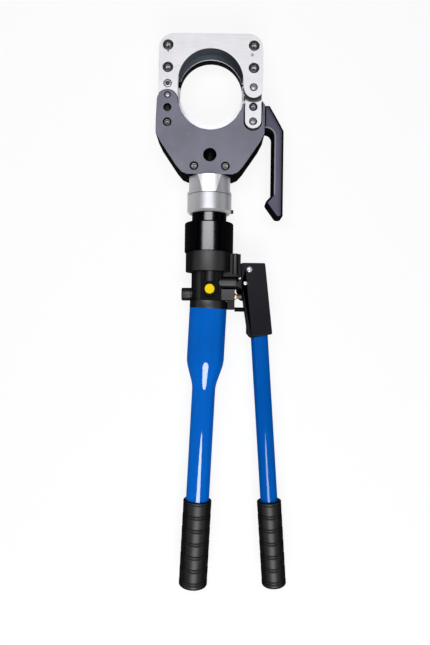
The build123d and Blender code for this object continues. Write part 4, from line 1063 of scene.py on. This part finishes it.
cap_screws("gate_screws", "gate", gate_places, M8)
cap_screws("frame_screws", "head", frame_places, M6)
cap_screws("tongue_screw", "gate", [(-SIDE_X, 0.0924)], M6)
cap_screws("link_screw", "head", link_places, M6)
print("nine cap screws")

# %% [markdown] ## Spring under the button A short coil pushes the yellow button out again. It is
# wound from round wire, so it is a small circle that is carried along a helix and closes to a point
# at each end. A curve with a bevel would leave its ends open.

# %% A coil under the button
COIL_TURNS = 2.5
WIRE_R = 0.0005
WIRE_STEPS, COIL_STEPS = 12, 121
# p = axis + (coil_r + w cos v) (cos u, sin u) + lift + w sin v, w the wire's radius, 0 at its ends.
seat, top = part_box("button_spring")
coil_middle = (np.array(seat) + np.array(top)) / 2
coil_r = (top[1] - seat[1]) / 2 - WIRE_R
lift = np.linspace(0, 1, COIL_STEPS)[:, None]
round_wire = np.arange(WIRE_STEPS)[None, :] * 2 * pi / WIRE_STEPS
thin = WIRE_R * np.where((lift == 0) | (lift == 1), 0, 1)
wound = 2 * pi * COIL_TURNS * lift
reach = coil_r + thin * np.cos(round_wire)
rise = seat[2] + WIRE_R + lift * (top[2] - seat[2] - 2 * WIRE_R) + thin * np.sin(round_wire)
coil = [coil_middle[0] + reach * np.cos(wound), coil_middle[1] + reach * np.sin(wound), rise]
spring = weld(grid_mesh("wound_button_spring", np.stack(coil, axis=-1), closed_v=True))
smooth(spring, corner=60)
replace(spring, "button_spring", "pump")
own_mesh(spring)
print("spring:", len(spring.data.polygons), "faces")

# %% [markdown]
# ## Knuckle of the lever's fork
# Below the plunger's pin the rear cheek of the lever's fork swells into a round knuckle that shows
# behind the valve stem. Rounding the fork itself would mean a new solid. Two discs with bevelled
# rims do it, low enough to pass under the stem and the plunger.

# %% A round knuckle on the lever
KNUCKLE = [(0.0455, -0.1740), (0.0470, -0.1805)]
KNUCKLE_R, BEVEL = 8.0, 1.2
LOW, HIGH = 9.2, 14.5
disc = KNUCKLE_R - BEVEL
knuckle_rows = [(0, LOW, 0), (disc, LOW, 0), (KNUCKLE_R, LOW + BEVEL, 0),
                (KNUCKLE_R, HIGH - BEVEL, 0), (disc, HIGH, 0), (0, HIGH, 0)]
knuckle = stack("lever_knuckle", KNUCKLE, knuckle_rows)
knuckle.data.materials.append(finishes["dull_black"])
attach(knuckle, "lever")
print("knuckle:", len(knuckle.data.polygons), "faces")

# %% [markdown]
# ## Broken edges
# A file or a tumbler takes half a millimetre off an edge, and nearly a millimetre off the side
# plates and the castings. Two places lose more: the top outer corner of the right arm is cut off,
# and the inner flank of the lever's head is well rounded. The CAD pieces keep exact corners, so
# each big piece gets a copy here: its points are merged, its flat triangles are joined, and a Bevel
# rounds what is still sharp. Modelling every round in the CAD would cost more and change no fit.

# %% Edges that get a wider bevel
def edge_ends(piece):
    """The points of a piece as rows of x, y, z, and its edges as rows of two point numbers."""
    mesh = piece.data
    points = np.empty(3 * len(mesh.vertices), np.float32)
    ends = np.empty(2 * len(mesh.edges), np.int32)
    mesh.vertices.foreach_get("co", points)
    mesh.edges.foreach_get("vertices", ends)
    return points.reshape(-1, 3).astype(float), ends.reshape(-1, 2)


def bevel_chosen(piece, chosen, width, segments):
    """Rounds over width the edges that are chosen."""
    weights = piece.data.attributes.new("bevel_weight_edge", "FLOAT", "EDGE")
    weights.data.foreach_set("value", chosen.astype(np.float32))
    wide = piece.modifiers.new("chosen_edges", "BEVEL")
    wide.width = width
    wide.segments = segments
    wide.limit_method = "WEIGHT"
    wide.use_clamp_overlap = False
    print(piece.name, "has", int(chosen.sum()), "wide edges")


print("edges of the front link:", len(edge_ends(frame["nodes"]["front_link"])[1]))

# %% A round flank and a cut corner
BESIDE, NEAR, LEVEL = 0.002, 0.0003, 1e-5
HALF_SPAN = 0.51


def round_flank(piece, start, stop, width):
    """Rounds the level edges that run beside the line from start to stop (x, y)."""
    points, ends = edge_ends(piece)
    start, stop = np.array(start), np.array(stop)
    length = np.hypot(*(stop - start))
    along = (stop - start) / length
    apart = points[:, :2] - start
    beside = np.abs(apart @ np.array([-along[1], along[0]])) < BESIDE
    within = np.abs(apart @ along / length - 0.5) < HALF_SPAN
    level = np.ptp(points[ends][:, :, 2], axis=1) < LEVEL
    bevel_chosen(piece, (beside & within)[ends].all(axis=1) & level, width, 4)


def cut_corner(piece, place, width):
    """Cuts the upright edges at place (x, y) back by width."""
    points, ends = edge_ends(piece)
    near = np.hypot(*(points[:, :2] - place).T) < NEAR
    bevel_chosen(piece, near[ends].all(axis=1), width, 1)


print("a flank's edges lie within", BESIDE * 1000, "mm of its line")

# %% A copy with a small bevel
SHARP = 35
PLATE_BREAK, PLAIN_BREAK, CAST_BREAK = 0.0009, 0.0005, 0.0008


def merged_copy(node):
    """A new piece from a CAD node, with its loose triangles merged and its flats joined."""
    shape = bmesh.new()
    shape.from_mesh(frame["nodes"][node].data)
    bmesh.ops.remove_doubles(shape, verts=shape.verts, dist=1e-6)
    bmesh.ops.dissolve_limit(shape, angle_limit=radians(0.5), verts=shape.verts, edges=shape.edges)
    mesh = bpy.data.meshes.new(f"eased_{node}")
    shape.to_mesh(mesh)
    shape.free()
    return smooth(show(bpy.data.objects.new(f"eased_{node}", mesh)), SHARP)


def broken_edges(node, body, width=PLAIN_BREAK, flank=None, cut=None):
    """A copy of a CAD piece with each edge sharper than SHARP degrees rounded over width."""
    piece = merged_copy(node)
    if flank:
        round_flank(piece, *flank)
    if cut:
        cut_corner(piece, *cut)
    bevel = piece.modifiers.new("broken_edges", "BEVEL")
    bevel.width = width
    bevel.segments = 2
    bevel.limit_method = "ANGLE"
    bevel.angle_limit = radians(SHARP)
    bevel.use_clamp_overlap = False
    even = piece.modifiers.new("even_shading", "WEIGHTED_NORMAL")
    even.weight = 100
    replace(piece, node, body)


print("edges over", SHARP, "degrees are broken")

# %% Plates, links, handle, casting and lever
ARM_CORNER = ((0.071, 0.0693), 0.0034)
LEVER_FLANK = ((0.0458, -0.1831), (0.0564, -0.2378), 0.004)
for node in ("front_side_plate", "rear_side_plate"):
    broken_edges(node, "head", PLATE_BREAK, cut=ARM_CORNER)
for node in ("side_handle", "front_link", "rear_link"):
    broken_edges(node, "head")
for node in ("gate_front_plate", "gate_rear_plate"):
    broken_edges(node, "gate")
broken_edges("pump_body", "pump", CAST_BREAK)
broken_edges("lever_head", "lever", CAST_BREAK, flank=LEVER_FLANK)
print("nine pieces with broken edges")

# %% [markdown] ## Closing The dressed tool has to keep the CAD model's size.
